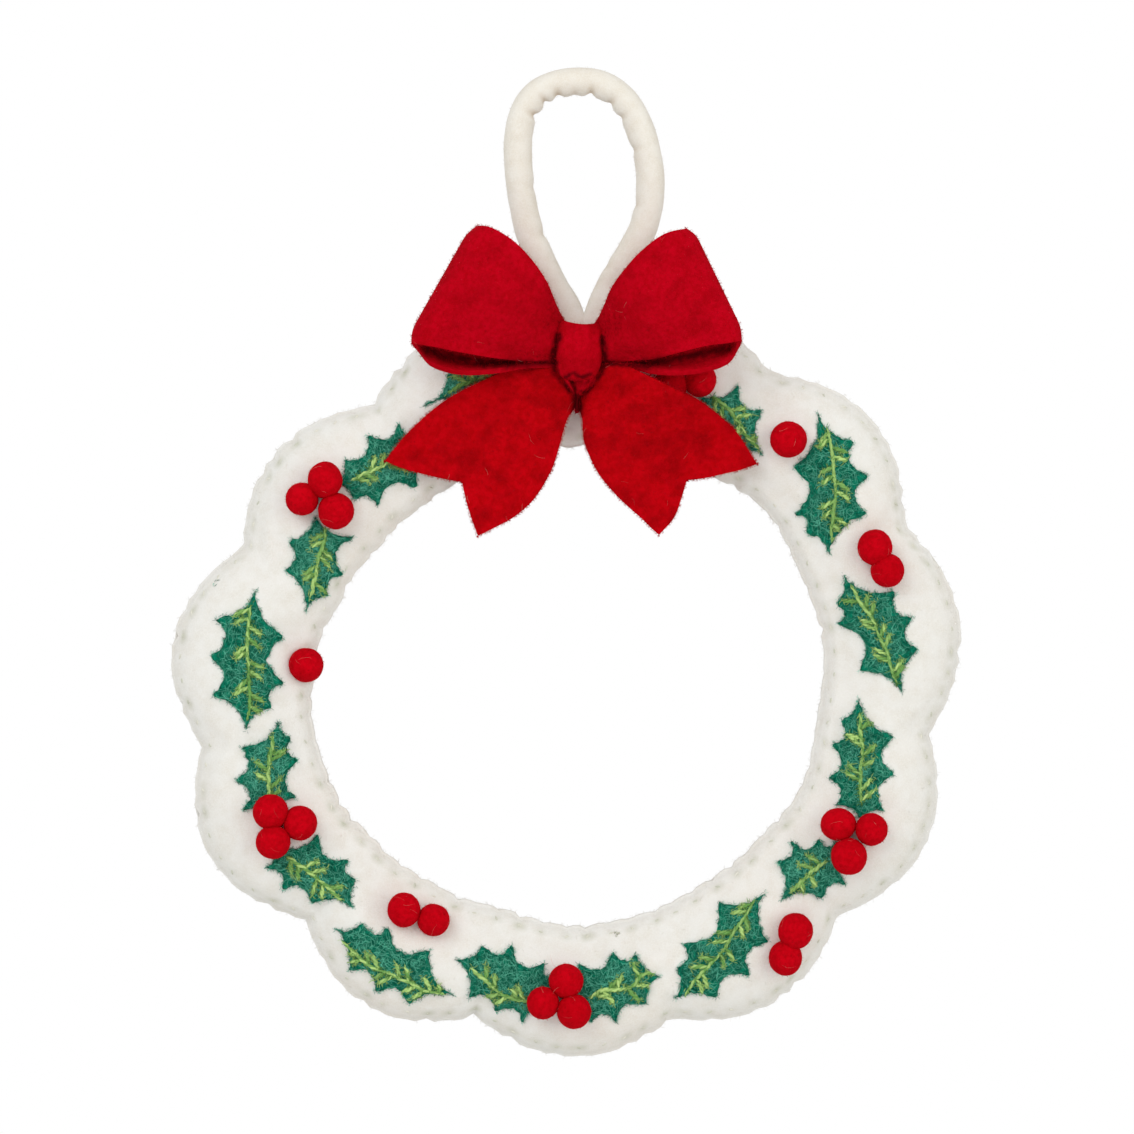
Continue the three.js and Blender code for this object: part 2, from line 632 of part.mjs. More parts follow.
// One tail: it leaves the knot's slanting side, lies over the ring and ends in a swallow's notch
function bowTail(name, outline, sign, lift) {
  const [top, foot] = [outline.tailTop, outline.tailFoot].map((shares) => (
    curveOf(shares.map(([across, down]) => [across, -down]), TAIL_REACH, TAIL_DROP, sign)));
  const [notchAcross, notchDown] = outline.tailNotch;
  const notch = new THREE.Vector3(
    bowCentre.x + sign * notchAcross * TAIL_REACH, 0, bowCentre.z - notchDown * TAIL_DROP);
  const notchPull = notch.sub(top.getPoint(1).lerp(foot.getPoint(1), 0.5));
  const grid = [];
  for (let i = 0; i <= TAIL_STEPS; i += 1) {
    const share = i / TAIL_STEPS;
    grid.push(tailDownShares.map((down) => {
      const point = top.getPoint(share).lerp(foot.getPoint(share), down);
      point.addScaledVector(notchPull, (1 - Math.abs(2 * down - 1)) * share * share);
      const bump = Math.sin(Math.PI * Math.min(1, share / tailBumpShare)) ** 2 * (1 - down);
      const rise = THREE.MathUtils.smoothstep(share, 0, tailRiseShare);
      point.y = -bowSeat - lerp(TAIL_ROOT, tailRest, rise) - lift * bump;
      return point;
    }));
  }
  return sheet(name, grid, -BOW_FELT / 2, BOW_FELT / 2, redFelt);
}

// The hanging loop

// The highest the ring's outer edge reaches between the outer sides of the loop's sewn ends
function ringTopUnderEnds() {
  const outermost = Math.max(...[tubeShares[0], tubeShares.at(-1)].map(([across]) => Math.abs(across)));
  const halfSpan = outermost * TUBE_HALF_WIDTH + TUBE_END_WIDTH / 2;
  const samples = 20;
  let top = -Infinity;
  for (let i = 0; i <= samples; i += 1) {
    const angle = Math.atan2(lerp(-halfSpan, halfSpan, i / samples) - ringCentre.x, PEAK_RADIUS);
    const place = placeOf(ringCentre.x + Math.sin(angle), ringCentre.z + Math.cos(angle)).place;
    top = Math.max(top, ringCentre.z + ringAt(place).outer * Math.cos(angle));
  }
  return top;
}

const loopFoot = ringTopUnderEnds() + GAP;

function hangingLoop() {
  const height = TUBE / 2 - loopFoot;
  const curve = new THREE.CatmullRomCurve3(tubeShares.map(([across, up]) => (
    new THREE.Vector3(across * TUBE_HALF_WIDTH, 0, loopFoot + up * height))));
  const length = curve.getLength();
  const endShares = tubeEndShares.map((share) => (share * TUBE_END_DEPTH) / length);
  const stations = [...endShares, ...endShares.map((share) => 1 - share)];
  for (let i = 1; i < TUBE_STEPS; i += 1) stations.push(i / TUBE_STEPS);
  const sections = stations.sort((a, b) => a - b).map((station) => {
    const point = curve.getPointAt(station);
    const rise = point.z - loopFoot;
    const flare = THREE.MathUtils.smoothstep(rise, TUBE_FLAT, TUBE_FLAT + TUBE_FLARE);
    const upright = new THREE.Vector3(0, 0, station < 0.5 ? 1 : -1);
    const along = upright.lerp(curve.getTangentAt(station), flare).normalize();
    const side = new THREE.Vector3(along.z, 0, -along.x);
    // The sewn end is rounded about the line it folds on
    const fromFold = Math.min(1, Math.max(0, 1 - (2 * rise) / TUBE_END_DEPTH));
    const roundOver = Math.sqrt(1 - fromFold * fromFold * endRoundShare);
    const halfDepth = (lerp(TUBE_END_DEPTH, TUBE, flare) / 2) * roundOver;
    const halfWidth = lerp(TUBE_END_WIDTH, TUBE, flare) / 2;
    const section = [];
    for (let j = 0; j < TUBE_SIDES; j += 1) {
      const turn = (2 * Math.PI * (j + 0.5)) / TUBE_SIDES;
      const corner = point.clone().addScaledVector(side, halfWidth * Math.cos(turn));
      corner.y = halfDepth * Math.sin(turn);
      section.push(corner);
    }
    return section;
  });
  return loft('hanging_loop', sections, false, creamFelt);
}

const wreath = new THREE.Group();
wreath.add(frontPanel(), backPanel(), stuffing());
wreath.add(seamThread('outer_seam_thread', ({ outer }) => outer - FLANGE + THREAD));
wreath.add(seamThread('inner_seam_thread', ({ inner }) => inner + FLANGE - THREAD));
leafShares.forEach((_, index) => wreath.add(leaf(index)));
wreath.add(...berryPlaces.flat().map(berry));
wreath.add(bowKnot());
wreath.add(bowLoop('bow_loop_left', bowShares.left, -1, 0));
wreath.add(bowLoop('bow_loop_right', bowShares.right, 1, overBerries(loopRest, loopOverShare)));
wreath.add(bowTail('bow_tail_left', bowShares.left, -1, 0));
wreath.add(bowTail('bow_tail_right', bowShares.right, 1, overBerries(tailRest, tailOverShare)));
wreath.add(hangingLoop());

export default wreath;
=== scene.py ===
"""A stuffed felt wreath: a cream ring with needled holly leaves, red berries, a felt bow and a hanging loop."""
import math
import random

import bpy
import numpy as np
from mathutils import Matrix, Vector, noise
from mathutils.bvhtree import BVHTree


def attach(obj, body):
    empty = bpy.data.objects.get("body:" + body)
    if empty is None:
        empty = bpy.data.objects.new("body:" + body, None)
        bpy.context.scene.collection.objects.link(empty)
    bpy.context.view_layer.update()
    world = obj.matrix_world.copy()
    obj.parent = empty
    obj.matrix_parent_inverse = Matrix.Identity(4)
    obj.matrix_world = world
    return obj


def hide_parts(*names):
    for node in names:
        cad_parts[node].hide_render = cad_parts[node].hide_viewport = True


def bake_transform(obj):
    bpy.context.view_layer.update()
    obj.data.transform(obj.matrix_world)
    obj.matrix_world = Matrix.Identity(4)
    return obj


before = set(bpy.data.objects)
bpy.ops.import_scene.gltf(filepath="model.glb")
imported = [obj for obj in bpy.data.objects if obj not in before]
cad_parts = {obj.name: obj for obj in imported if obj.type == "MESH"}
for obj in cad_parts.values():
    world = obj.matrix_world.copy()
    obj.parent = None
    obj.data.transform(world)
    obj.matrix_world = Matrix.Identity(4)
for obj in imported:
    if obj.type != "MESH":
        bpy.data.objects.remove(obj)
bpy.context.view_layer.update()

scene = bpy.context.scene
MM = 0.001
# Points of a seam or a pole that are nearer than this, in mm, become one
SEAM_MERGE = 0.02

# The camera looks straight at the front of the wreath. One pixel of the 1134 pixel photograph is 0.42 mm at
# the plane of the ring's seam
PIXEL = 0.42
FRAME_PIXELS = 1134
CAMERA_DISTANCE = 1785.0
CAMERA_X, CAMERA_Z = -5.5, -197.4


def seen(pixels, height):
    """The points, in mm, that are seen at these pixels and stand this far in front of the seam."""
    pixels = np.asarray(pixels, float)
    nearer = (CAMERA_DISTANCE - np.asarray(height, float)) / CAMERA_DISTANCE
    x = CAMERA_X + (pixels[..., 0] - FRAME_PIXELS / 2) * PIXEL * nearer
    z = CAMERA_Z + (FRAME_PIXELS / 2 - pixels[..., 1]) * PIXEL * nearer
    return np.stack([x, -np.broadcast_to(height, x.shape), z], axis=-1)


# Shared workshop steps

def only(piece):
    """Selects this piece alone and makes it the active one."""
    bpy.ops.object.select_all(action="DESELECT")
    piece.select_set(True)
    bpy.context.view_layer.objects.active = piece


def values_of(items, name, width, kind=np.float32):
    """What each item of a mesh holds under this name, one row an item."""
    values = np.empty(len(items) * width, kind)
    items.foreach_get(name, values)
    return values.reshape(-1, width)


def points_of(piece):
    """The points of a piece's mesh, in metres."""
    return values_of(piece.data.vertices, "co", 3).astype(float)


def move_points(piece, points):
    """Moves the points of a piece's mesh, in metres."""
    piece.data.vertices.foreach_set("co", np.asarray(points, np.float32).ravel())
    piece.data.update()


def mark(mesh, name, values):
    """Writes a value for each point of a mesh, for its material to read."""
    attribute = mesh.attributes.new(name, "FLOAT", "POINT")
    attribute.data.foreach_set("value", np.asarray(values, np.float32))


def shaped(name, add, place, **sizes):
    """Adds a primitive and moves each of its points to where place puts it, in mm."""
    bpy.ops.object.select_all(action="DESELECT")
    add(**sizes)
    piece = bpy.context.object
    piece.name = piece.data.name = name
    move_points(piece, place(points_of(piece)) * MM)
    return piece


def finish_with(piece, kind, **settings):
    """Adds a modifier with these settings and applies it."""
    only(piece)
    modifier = piece.modifiers.new(kind.title(), kind)
    for setting, value in settings.items():
        setattr(modifier, setting, value)
    bpy.ops.object.modifier_apply(modifier=modifier.name)


def edit_all(piece, *steps):
    """Runs these edit-mode steps on the whole of a piece."""
    only(piece)
    bpy.ops.object.mode_set(mode="EDIT")
    bpy.ops.mesh.select_all(action="SELECT")
    for step in steps:
        step()
    bpy.ops.object.mode_set(mode="OBJECT")


def face_outwards(piece, merge=True):
    """Turns every face of a closed piece outwards, once its seams and poles are closed."""
    if merge:
        edit_all(piece, lambda: bpy.ops.mesh.remove_doubles(threshold=SEAM_MERGE * MM))
    edit_all(piece, bpy.ops.mesh.normals_make_consistent)


def face_the_front(piece):
    """Turns a closed pad's faces round where its foremost face points backwards."""
    face_outwards(piece)
    foremost = min(piece.data.polygons, key=lambda face: face.center.y)
    if foremost.normal.y > 0:
        edit_all(piece, bpy.ops.mesh.flip_normals)


def smooth(piece, degrees):
    """Shades a piece smooth but for its edges that are sharper than this."""
    only(piece)
    bpy.ops.object.shade_smooth_by_angle(angle=math.radians(degrees))


def join(pieces, name):
    """Joins the pieces into the first one."""
    bpy.ops.object.select_all(action="DESELECT")
    for piece in pieces:
        piece.select_set(True)
    bpy.context.view_layer.objects.active = pieces[0]
    bpy.ops.object.join()
    joined = bpy.context.object
    joined.name = joined.data.name = name
    return joined


def dress(piece, material, body="wreath", nodes=()):
    """Gives a finished piece its material, its place on a body and the nodes it stands for."""
    piece.data.materials.clear()
    piece.data.materials.append(material)
    if body:
        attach(piece, body)
    if nodes:
        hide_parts(*nodes)


def along(points, count, steps=24):
    """A smooth line through these points, with count points spaced evenly along it."""
    points = np.asarray(points, float)
    ends = np.concatenate([[2 * points[0] - points[1]], points, [2 * points[-1] - points[-2]]])
    share = np.linspace(0, 1, steps, endpoint=False)[:, None]
    line = []
    for a, b, c, d in zip(ends, ends[1:], ends[2:], ends[3:]):
        line.append(0.5 * (2 * b + (c - a) * share + (2 * a - 5 * b + 4 * c - d) * share ** 2
                           + (3 * b - a - 3 * c + d) * share ** 3))
    line = np.concatenate(line + [points[-1:]])
    return evenly(line, count)


def evenly(line, count):
    """The same line with count points spaced evenly along it."""
    steps = np.linalg.norm(np.diff(line, axis=0), axis=1)
    travelled = np.concatenate([[0], np.cumsum(steps)])
    wanted = np.linspace(0, travelled[-1], count)
    return np.stack([np.interp(wanted, travelled, line[:, axis]) for axis in range(line.shape[1])], axis=1)


def at_share(line, share):
    """The points of a line at these shares of its length."""
    place = np.clip(share, 0, 1) * (len(line) - 1)
    below = np.minimum(np.floor(place).astype(int), len(line) - 2)
    part = (place - below)[..., None]
    return line[below] * (1 - part) + line[below + 1] * part


def unit(vectors):
    """Vectors in the same directions, of length 1."""
    return vectors / np.maximum(np.linalg.norm(vectors, axis=-1, keepdims=True), 1e-9)


def eased(share):
    """From 0 to 1 with a soft start and a soft end."""
    share = np.clip(share, 0, 1)
    return share * share * (3 - 2 * share)


def uneven(points, size, seed, detail=2):
    """A soft random value from about -1 to 1 at each point, for lumps of this size in mm."""
    shift = Vector((seed * 7.3, seed * 3.1, seed * 5.7))
    return np.array([noise.fractal(Vector(point) / size + shift, 1.0, 2.0, detail) for point in points])


def ball_steps(points):
    """How far down a sphere each of its points is, from 0 to 1, and its angle round it."""
    return np.arccos(np.clip(points[:, 2], -1, 1)) / np.pi, np.arctan2(points[:, 1], points[:, 0])


def strand_pattern(sides, rings):
    """One pointed strand: its faces, then each point's step along it, its angle round it and its thickness."""
    bpy.ops.object.select_all(action="DESELECT")
    bpy.ops.mesh.primitive_uv_sphere_add(radius=1, segments=sides, ring_count=rings)
    strand = bpy.context.object
    down, turn = ball_steps(points_of(strand))
    faces = np.array([[*face.vertices, -1][:4] for face in strand.data.polygons])
    bpy.data.objects.remove(strand, do_unlink=True)
    return faces, np.rint(down * rings).astype(int), turn, np.sin(np.pi * down) ** 0.5


def strands(name, paths, radius, pattern, seed=0):
    """Copies a strand along each of the paths, in mm, and gives each copy a tone of its own."""
    faces, steps, turn, thick = pattern
    paths = np.asarray(paths, float)
    ahead = unit(np.gradient(paths, axis=1))
    side = unit(np.cross(ahead, [0.02, -1, 0.01]))
    up = np.cross(side, ahead)
    round_it = side[:, steps] * np.cos(turn)[:, None] + up[:, steps] * np.sin(turn)[:, None]
    radius = np.broadcast_to(radius, len(paths))[:, None, None]
    points = (paths[:, steps] + radius * thick[:, None] * round_it).reshape(-1, 3) * MM
    every_face = []
    for copy in range(len(paths)):
        every_face += [[corner + copy * len(steps) for corner in face if corner >= 0] for face in faces]
    mesh = bpy.data.meshes.new(name)
    mesh.from_pydata(points.tolist(), [], every_face)
    # Most strands are nearer to the dark tone
    tones = np.random.default_rng(seed).random(len(paths)) ** 1.4
    mark(mesh, "tone", np.repeat(tones, len(steps)))
    mesh.polygons.foreach_set("use_smooth", np.ones(len(mesh.polygons), bool))
    piece = bpy.data.objects.new(name, mesh)
    scene.collection.objects.link(piece)
    return piece


FIBRE_STEPS = 5
fibre = strand_pattern(3, FIBRE_STEPS)
stitch = strand_pattern(5, 6)
yarn = strand_pattern(6, 14)


def wander(starts, headings, lengths, curl, steps):
    """Flat curling paths, in the units of the starts: each turns by up to its curl, in radians, on its way."""
    share = np.linspace(0, 1, steps + 1)
    angles = headings[:, None] + curl[:, None] * (share - 0.5)
    walk = np.stack([np.cos(angles), np.sin(angles)], axis=2) * (lengths / steps)[:, None, None]
    return starts[:, None] + np.cumsum(walk, axis=1) - walk[:, :1]


def strays(pick, starts, lengths, curl):
    """Flat paths of loose fibres that leave their starts in every direction, with lengths in this range."""
    count = len(starts)
    return wander(starts, pick.uniform(0, 2 * np.pi, count), pick.uniform(*lengths, count),
                  pick.normal(0, curl, count), FIBRE_STEPS)


def arched(pick, count, rise, base, shares):
    """How high, in mm, each step of some fibres stands: most in the middle, each by a share in this range."""
    arch = np.sin(np.pi * np.linspace(0, 1, FIBRE_STEPS + 1)) * rise + base
    return arch * pick.uniform(*shares, (count, 1))


# A point is on a piece's edge or its front where its normal points sideways or forwards by at least this
SIDEWAYS, FORWARDS = 0.75, 0.3


def fluff(piece, name, count, length, seed, standing=0.5, radius=0.05, curl=0.6):
    """Loose fibres on a piece of felt: some stand off its edges and the others lie on its faces."""
    pick = np.random.default_rng(seed)
    mesh = piece.data
    corners = points_of(piece) / MM
    normals = values_of(mesh.vertex_normals, "vector", 3).astype(float)
    ends = values_of(mesh.edges, "vertices", 2, np.int32)
    sideways = (np.hypot(normals[:, 0], normals[:, 2]) > SIDEWAYS)[ends].all(axis=1)
    in_front = (-normals[:, 1] > FORWARDS)[ends].all(axis=1)
    at_edge = pick.choice(np.flatnonzero(sideways), int(count * standing))
    on_face = pick.choice(np.flatnonzero(in_front), count - len(at_edge))
    chosen = ends[np.concatenate([at_edge, on_face])]
    part = pick.random((count, 1))
    roots = corners[chosen[:, 0]] * (1 - part) + corners[chosen[:, 1]] * part
    out = normals[chosen[:, 0]] * (1 - part) + normals[chosen[:, 1]] * part
    lean = pick.normal(size=(count, 3))
    flat = unit(lean - out * (lean * out).sum(axis=1, keepdims=True))
    bend = np.cross(out, flat) * pick.uniform(-curl, curl, (count, 1))
    lengths = pick.uniform(0.5, 1, count)[:, None, None] * length
    share = np.linspace(-0.3, 1, FIBRE_STEPS + 1)[None, :, None]
    upright = np.where(np.arange(count) < len(at_edge), pick.uniform(0.3, 0.8, count), 0.05)[:, None, None]
    along_it = flat[:, None] * (1 - upright) + out[:, None] * upright
    # A fibre starts in the felt and bulges off its face on its way
    paths = (roots[:, None] + lengths * (along_it * share + bend[:, None] * share ** 2)
             + out[:, None] * (0.14 * np.sin(np.pi * share) - 0.05))
    return strands(name, paths, radius * pick.uniform(0.7, 1.2, count), fibre, seed)


# The ring's middle and the radii of its scallops' peaks, their valleys and its hole, in mm
RING_X, RING_Z = -3.4, -244.9
PEAK_RADIUS, VALLEY_RADIUS, HOLE_RADIUS = 163.0, 150.0, 104.0
# The felt's thickness, how far in the seams hold it, the hem outside the padding, the gap between the faces'
# hems and how far the padding swells each face, in mm
FELT = 2.2
SEAM_INSET = 3.6
HEM = 1.0
GAP = 0.3
FRONT_CROWN, BACK_CROWN = 13.0, 8.0
# The padding before it is blown up, as a share of its height, the most that it then swells, in mm, and the
# frames that the cloth takes
UNFILLED = 0.9
MOST_SWELLING = 4.0
CLOTH_STEPS = 20
# The ring's outline: one row a scallop, clockwise from the top. Where it starts in degrees, then its valley,
# its peak and the hole's radius at both, as shares of the radii above
scallops = np.array([
    [357, .986, 1, .937, .960], [33, 1.027, 1.024, .998, 1.036], [65, 1.030, 1.011, 1.016, 1.022],
    [98.5, 1.011, 1.005, 1, 1.018], [131.5, .995, .980, .986, .975], [163.5, .988, .970, .984, .990],
    [196, .980, .991, .963, .990], [228, 1.004, 1.038, 1.020, 1.054], [260, 1.053, 1.033, 1.060, 1.034],
    [292, .995, .964, .980, .940], [324, .952, .958, .921, .915],
])


def ring_at(place):
    """The angle, the hole's radius, the outer radius and the share of its scallop, at places in scallops."""
    whole = np.floor(place).astype(int)
    share = place - whole
    here, there = scallops[whole % len(scallops)], scallops[(whole + 1) % len(scallops)]
    span = (there[:, 0] - here[:, 0]) % 360
    valley = (here[:, 1] + (there[:, 1] - here[:, 1]) * share) * VALLEY_RADIUS
    rise = here[:, 2] * PEAK_RADIUS - (here[:, 1] + there[:, 1]) / 2 * VALLEY_RADIUS
    outer = valley + rise * np.sin(np.pi * share)
    first = share < 0.5
    start, end = np.where(first, here[:, 3], here[:, 4]), np.where(first, here[:, 4], there[:, 3])
    part = np.where(first, 2 * share, 2 * share - 1)
    inner = (start + (end - start) * (1 - np.cos(np.pi * part)) / 2) * HOLE_RADIUS
    return np.radians(here[:, 0] + span * share), inner, outer, share


def front_height(across, share):
    """How far the front face stands in front of the seam, at a share across from seam to seam."""
    inside = np.clip(across, 0, 1)
    dome = np.maximum(1 - np.abs(2 * inside - 1) ** 2.4, 0) ** 0.75
    return GAP / 2 + FELT + FRONT_CROWN * (1 - 0.1 * (1 - np.sin(np.pi * share))) * dome


def back_height(across):
    """How far the back face stands behind the seam: it is flat where it rests on a door."""
    from_edge = np.clip(np.minimum(across, 1 - across) / 0.28, 0, 1)
    return GAP / 2 + FELT + BACK_CROWN * (1 - (1 - from_edge) ** 2.2)


def ring_places(count):
    """Evenly spaced places round the ring, in scallops."""
    return np.arange(count) * len(scallops) / count


def ring_points(angle, radius, height):
    """The points in mm at these angles, radii and heights in front of the seam."""
    return np.stack([RING_X + radius * np.sin(angle), -height, RING_Z + radius * np.cos(angle)], axis=-1)


def torus_of(name, grid):
    """A closed ring whose points follow this grid, in mm, and the row and column of each of them."""
    around, across = grid.shape[:2]
    at = []

    def place(points):
        turn = np.arctan2(points[:, 1], points[:, 0]) / (2 * np.pi)
        tube = np.arctan2(points[:, 2], np.hypot(points[:, 0], points[:, 1]) - 1) / (2 * np.pi)
        at.extend([np.rint(turn * around).astype(int) % around, np.rint(tube * across).astype(int) % across])
        return grid[tuple(at)]

    piece = shaped(name, bpy.ops.mesh.primitive_torus_add, place, major_radius=1, minor_radius=0.25,
                   major_segments=around, minor_segments=across)
    return piece, tuple(at)


def swollen_ring():
    """Blows the ring up as cloth held along its seams. Gives how far each point of a coarse ring moved, in mm."""
    around, across = 264, 32
    half = across // 2
    angle, inner, outer, share = ring_at(ring_places(around))
    spacing = (1 - np.cos(np.pi * np.arange(half + 1) / half)) / 2
    radius = inner[:, None] + (outer - inner)[:, None] * spacing
    seam = (radius - inner[:, None] - HEM) / (outer - inner - 2 * HEM)[:, None]
    front = front_height(seam, share[:, None]) * UNFILLED
    back = -back_height(seam) * UNFILLED
    front[:, [0, -1]] = back[:, [0, -1]] = 0
    radii = np.concatenate([radius, radius[:, -2:0:-1]], axis=1)
    heights = np.concatenate([front, back[:, -2:0:-1]], axis=1)
    start = ring_points(angle[:, None], radii, heights)
    pillow, at = torus_of("pillow", start)
    inset = np.minimum(radii - inner[:, None], outer[:, None] - radii)
    held = pillow.vertex_groups.new(name="held")
    held.add(np.flatnonzero((inset < SEAM_INSET + 1)[at]).tolist(), 1.0, "REPLACE")
    cloth = pillow.modifiers.new("Cloth", "CLOTH")
    settings = cloth.settings
    settings.quality = 4
    settings.mass = 0.2
    settings.vertex_group_mass = "held"
    settings.use_pressure = True
    settings.uniform_pressure_force = 4
    settings.shrink_min = -0.012
    settings.tension_stiffness = settings.compression_stiffness = 20
    settings.bending_stiffness = 4
    settings.effector_weights.gravity = 0
    cloth.collision_settings.use_collision = False
    for step in range(1, CLOTH_STEPS + 1):
        scene.frame_set(step)
    finish = pillow.evaluated_get(bpy.context.evaluated_depsgraph_get())
    moved = np.zeros_like(start)
    moved[at] = points_of(finish) / MM - start[at]
    scene.frame_set(1)
    bpy.data.objects.remove(pillow, do_unlink=True)
    reach = np.linalg.norm(moved, axis=2, keepdims=True)
    return moved * np.minimum(1, MOST_SWELLING / np.maximum(reach, 1e-6))


swelling = swollen_ring()


def swelling_at(turn, tube):
    """The swelling between the coarse ring's points: turn and tube run from 0 to 1 round the ring and section."""
    around, across = swelling.shape[:2]
    waves = np.fft.fft2(swelling, axes=(0, 1)) / (around * across)
    rows = np.exp(2j * np.pi * np.outer(turn, np.fft.fftfreq(around, 1 / around)))
    columns = np.exp(2j * np.pi * np.outer(tube, np.fft.fftfreq(across, 1 / across)))
    return np.einsum("ak,klc,bl->abc", rows, waves, columns, optimize=True).real


# The hand stitches along both edges: how far in they are, their spacing, their threads' length and radius, how
# deep they dent the felt and how far they draw its edge in, and the rounding of a cut edge, all in mm
STITCH_INSET = 4.3
STITCH_STEP = 9.7
STITCH_LENGTH = 3.0
THREAD_RADIUS = 0.45
STITCH_DENT = 1.0
EDGE_NOTCH = 1.3
EDGE_ROUND = 0.9
# The groove along a line of stitches: its depth and width, the width of a stitch's dent and of the notch that it
# draws into the edge, and how far it presses the edge, in mm
GROOVE_DEPTH, GROOVE_WIDTH = 0.15, 1.8
DENT_WIDTH, NOTCH_WIDTH, EDGE_PRESS = 2.1, 1.5, 0.35


def stitch_points(place, outer_edge):
    """The angles of these places, in scallops, and their points in mm on the line along which an edge is sewn."""
    angle, inner, outer, _ = ring_at(place)
    radius = outer - STITCH_INSET if outer_edge else inner + STITCH_INSET
    return angle, ring_points(angle, radius, np.zeros_like(radius))


def stitch_line(seed, outer_edge):
    """The places, in scallops, of the stitches along one edge."""
    place = np.linspace(0, len(scallops), 4401)
    line = stitch_points(place[:-1], outer_edge)[1]
    steps = np.linalg.norm(np.roll(line, -1, axis=0) - line, axis=1)
    travelled = np.concatenate([[0], np.cumsum(steps)])
    count = round(travelled[-1] / STITCH_STEP)
    pick = random.Random(seed)
    wanted = [(i + pick.uniform(-0.1, 0.1)) / count % 1 * travelled[-1] for i in range(count)]
    return travelled, place, np.sort(np.interp(wanted, travelled, place))


def to_stitch(place, line):
    """The distance in mm along an edge from each place to its nearest stitch, and how hard that stitch pulls."""
    travelled, places, stitches = line
    whole = travelled[-1]
    here = np.interp(place, places, travelled)[:, None]
    there = np.interp(stitches, places, travelled)[None, :]
    gap = np.abs(here - there)
    gap = np.minimum(gap, whole - gap)
    pull = np.random.default_rng(len(stitches)).uniform(0.3, 1.6, len(stitches))
    return gap.min(axis=1), pull[gap.argmin(axis=1)]


stitch_lines = {edge: stitch_line(5 + edge, edge) for edge in (False, True)}
# Where a face has its columns of points near an edge, in mm in from it, and how many rows are worked out at once
ROWS_AT_ONCE = 44
edge_insets = [0, 0.12, 0.35, 0.7, 1.2, 1.8, 2.5, 3.2, 3.8, 4.4, 5.0, 5.8, 7.0, 8.6, 10.5]


def ring_face(name, around, middle, front):
    """One face of the ring: a felt skin with rounded edges, dented and drawn in at its stitches."""
    insets = [(0, inset) for inset in edge_insets]
    shares = [(share, 0) for share in np.linspace(0, 1, middle + 2)[1:-1]]
    columns = insets + shares + [(1, -inset) for inset in edge_insets[::-1]]
    under = [(0, 0.5), (0, 2.5), (0, 5), (0, 9)] + shares[1:-1:2] + [(1, -9), (1, -5), (1, -2.5), (1, -0.5)]
    place = ring_places(around)
    angle, inner, outer, share = ring_at(place)
    gaps = {edge: to_stitch(place, stitch_lines[edge]) for edge in (False, True)}
    near = edge_insets[-1]

    def surface(columns, pressed):
        """The radii, heights and stitch marks of these columns: pressed is how hard the stitches show."""
        part = np.array([part for part, _ in columns])
        inset = np.array([inset for _, inset in columns])
        between = (outer - inner - 2 * near)[:, None]
        radius = np.where(part == 0, inner[:, None] + inset,
                          np.where(part == 1, outer[:, None] + inset, inner[:, None] + near + between * part))
        from_hole, from_rim = radius - inner[:, None], outer[:, None] - radius
        across = (from_hole - HEM) / (outer - inner - 2 * HEM)[:, None]
        height = front_height(across, share[:, None]) if front else back_height(across)
        across_all = from_hole / (from_hole + from_rim)
        tube = np.arccos(1 - 2 * np.clip(across_all, 0, 1)) / (2 * np.pi)
        moved = np.zeros(height.shape + (3,))
        for row in range(0, around, ROWS_AT_ONCE):
            rows = slice(row, row + ROWS_AT_ONCE)
            mean = tube[rows].mean(axis=0)
            moved[rows] = swelling_at(place[rows] / len(scallops), mean if front else 1 - mean)
        nearest = np.minimum(from_hole, from_rim)
        free = eased((nearest - SEAM_INSET) / 5)
        height = height * (1 - 0.1 * free * (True)) + free * (-moved[..., 1] if front else moved[..., 1])
        drawn, marks = np.zeros_like(height), np.zeros_like(height)
        for edge, inset_here in ((False, from_hole), (True, from_rim)):
            gap, pull = (values[:, None] for values in gaps[edge])
            off_seam = inset_here - STITCH_INSET
            height -= pressed * GROOVE_DEPTH * np.exp(-(off_seam / GROOVE_WIDTH) ** 2)
            height -= pressed * pull * STITCH_DENT * np.exp(-(off_seam ** 2 + gap ** 2) / DENT_WIDTH ** 2)
            marks += pull * np.exp(-((off_seam / 1.7) ** 2 + (gap / 2.4) ** 2))
            to_edge = np.exp(-(gap / NOTCH_WIDTH) ** 2) * eased(1 - inset_here / (STITCH_INSET + 1))
            height -= pressed * EDGE_PRESS * to_edge
            drawn += (-EDGE_NOTCH if edge else EDGE_NOTCH) * pull * to_edge
            rounded = np.clip(EDGE_ROUND - inset_here, 0, EDGE_ROUND)
            height -= pressed * (EDGE_ROUND - np.sqrt(EDGE_ROUND ** 2 - rounded ** 2))
        return radius + drawn, height, marks

    top_radius, top_height, stitch_marks_and_painted_shade = surface(columns, 1.0)
    low_radius, low_height, _ = surface(under, 0.35)
    low_height = np.maximum(low_height - FELT, GAP / 2)
    rims = np.array([0.55, 0.25])

    def rim(column, shares):
        """The radii and heights of the columns that close the edge below this one."""
        height = GAP / 2 + (top_height[:, column, None] - GAP / 2) * shares
        return np.broadcast_to(top_radius[:, column, None], height.shape), height

    skins = zip((top_radius, top_height), rim(-1, rims), (low_radius, low_height), rim(0, rims[::-1]))
    radii, heights = (np.concatenate([top, outer_rim, low[:, ::-1], inner_rim], axis=1)
                      for top, outer_rim, low, inner_rim in skins)
    face, at = torus_of(name, ring_points(angle[:, None], radii, heights * (1 if front else -1)))
    marks = np.zeros(radii.shape)
    marks[:, :len(columns)] = stitch_marks_and_painted_shade
    mark(face.data, "stitch_marks_and_painted_shade", marks[at])
    face_outwards(face, merge=False)
    smooth(face, 75)
    return face


front_face = ring_face("ring_front", around=1012, middle=16, front=True)
back_face = ring_face("ring_back", around=660, middle=10, front=False)

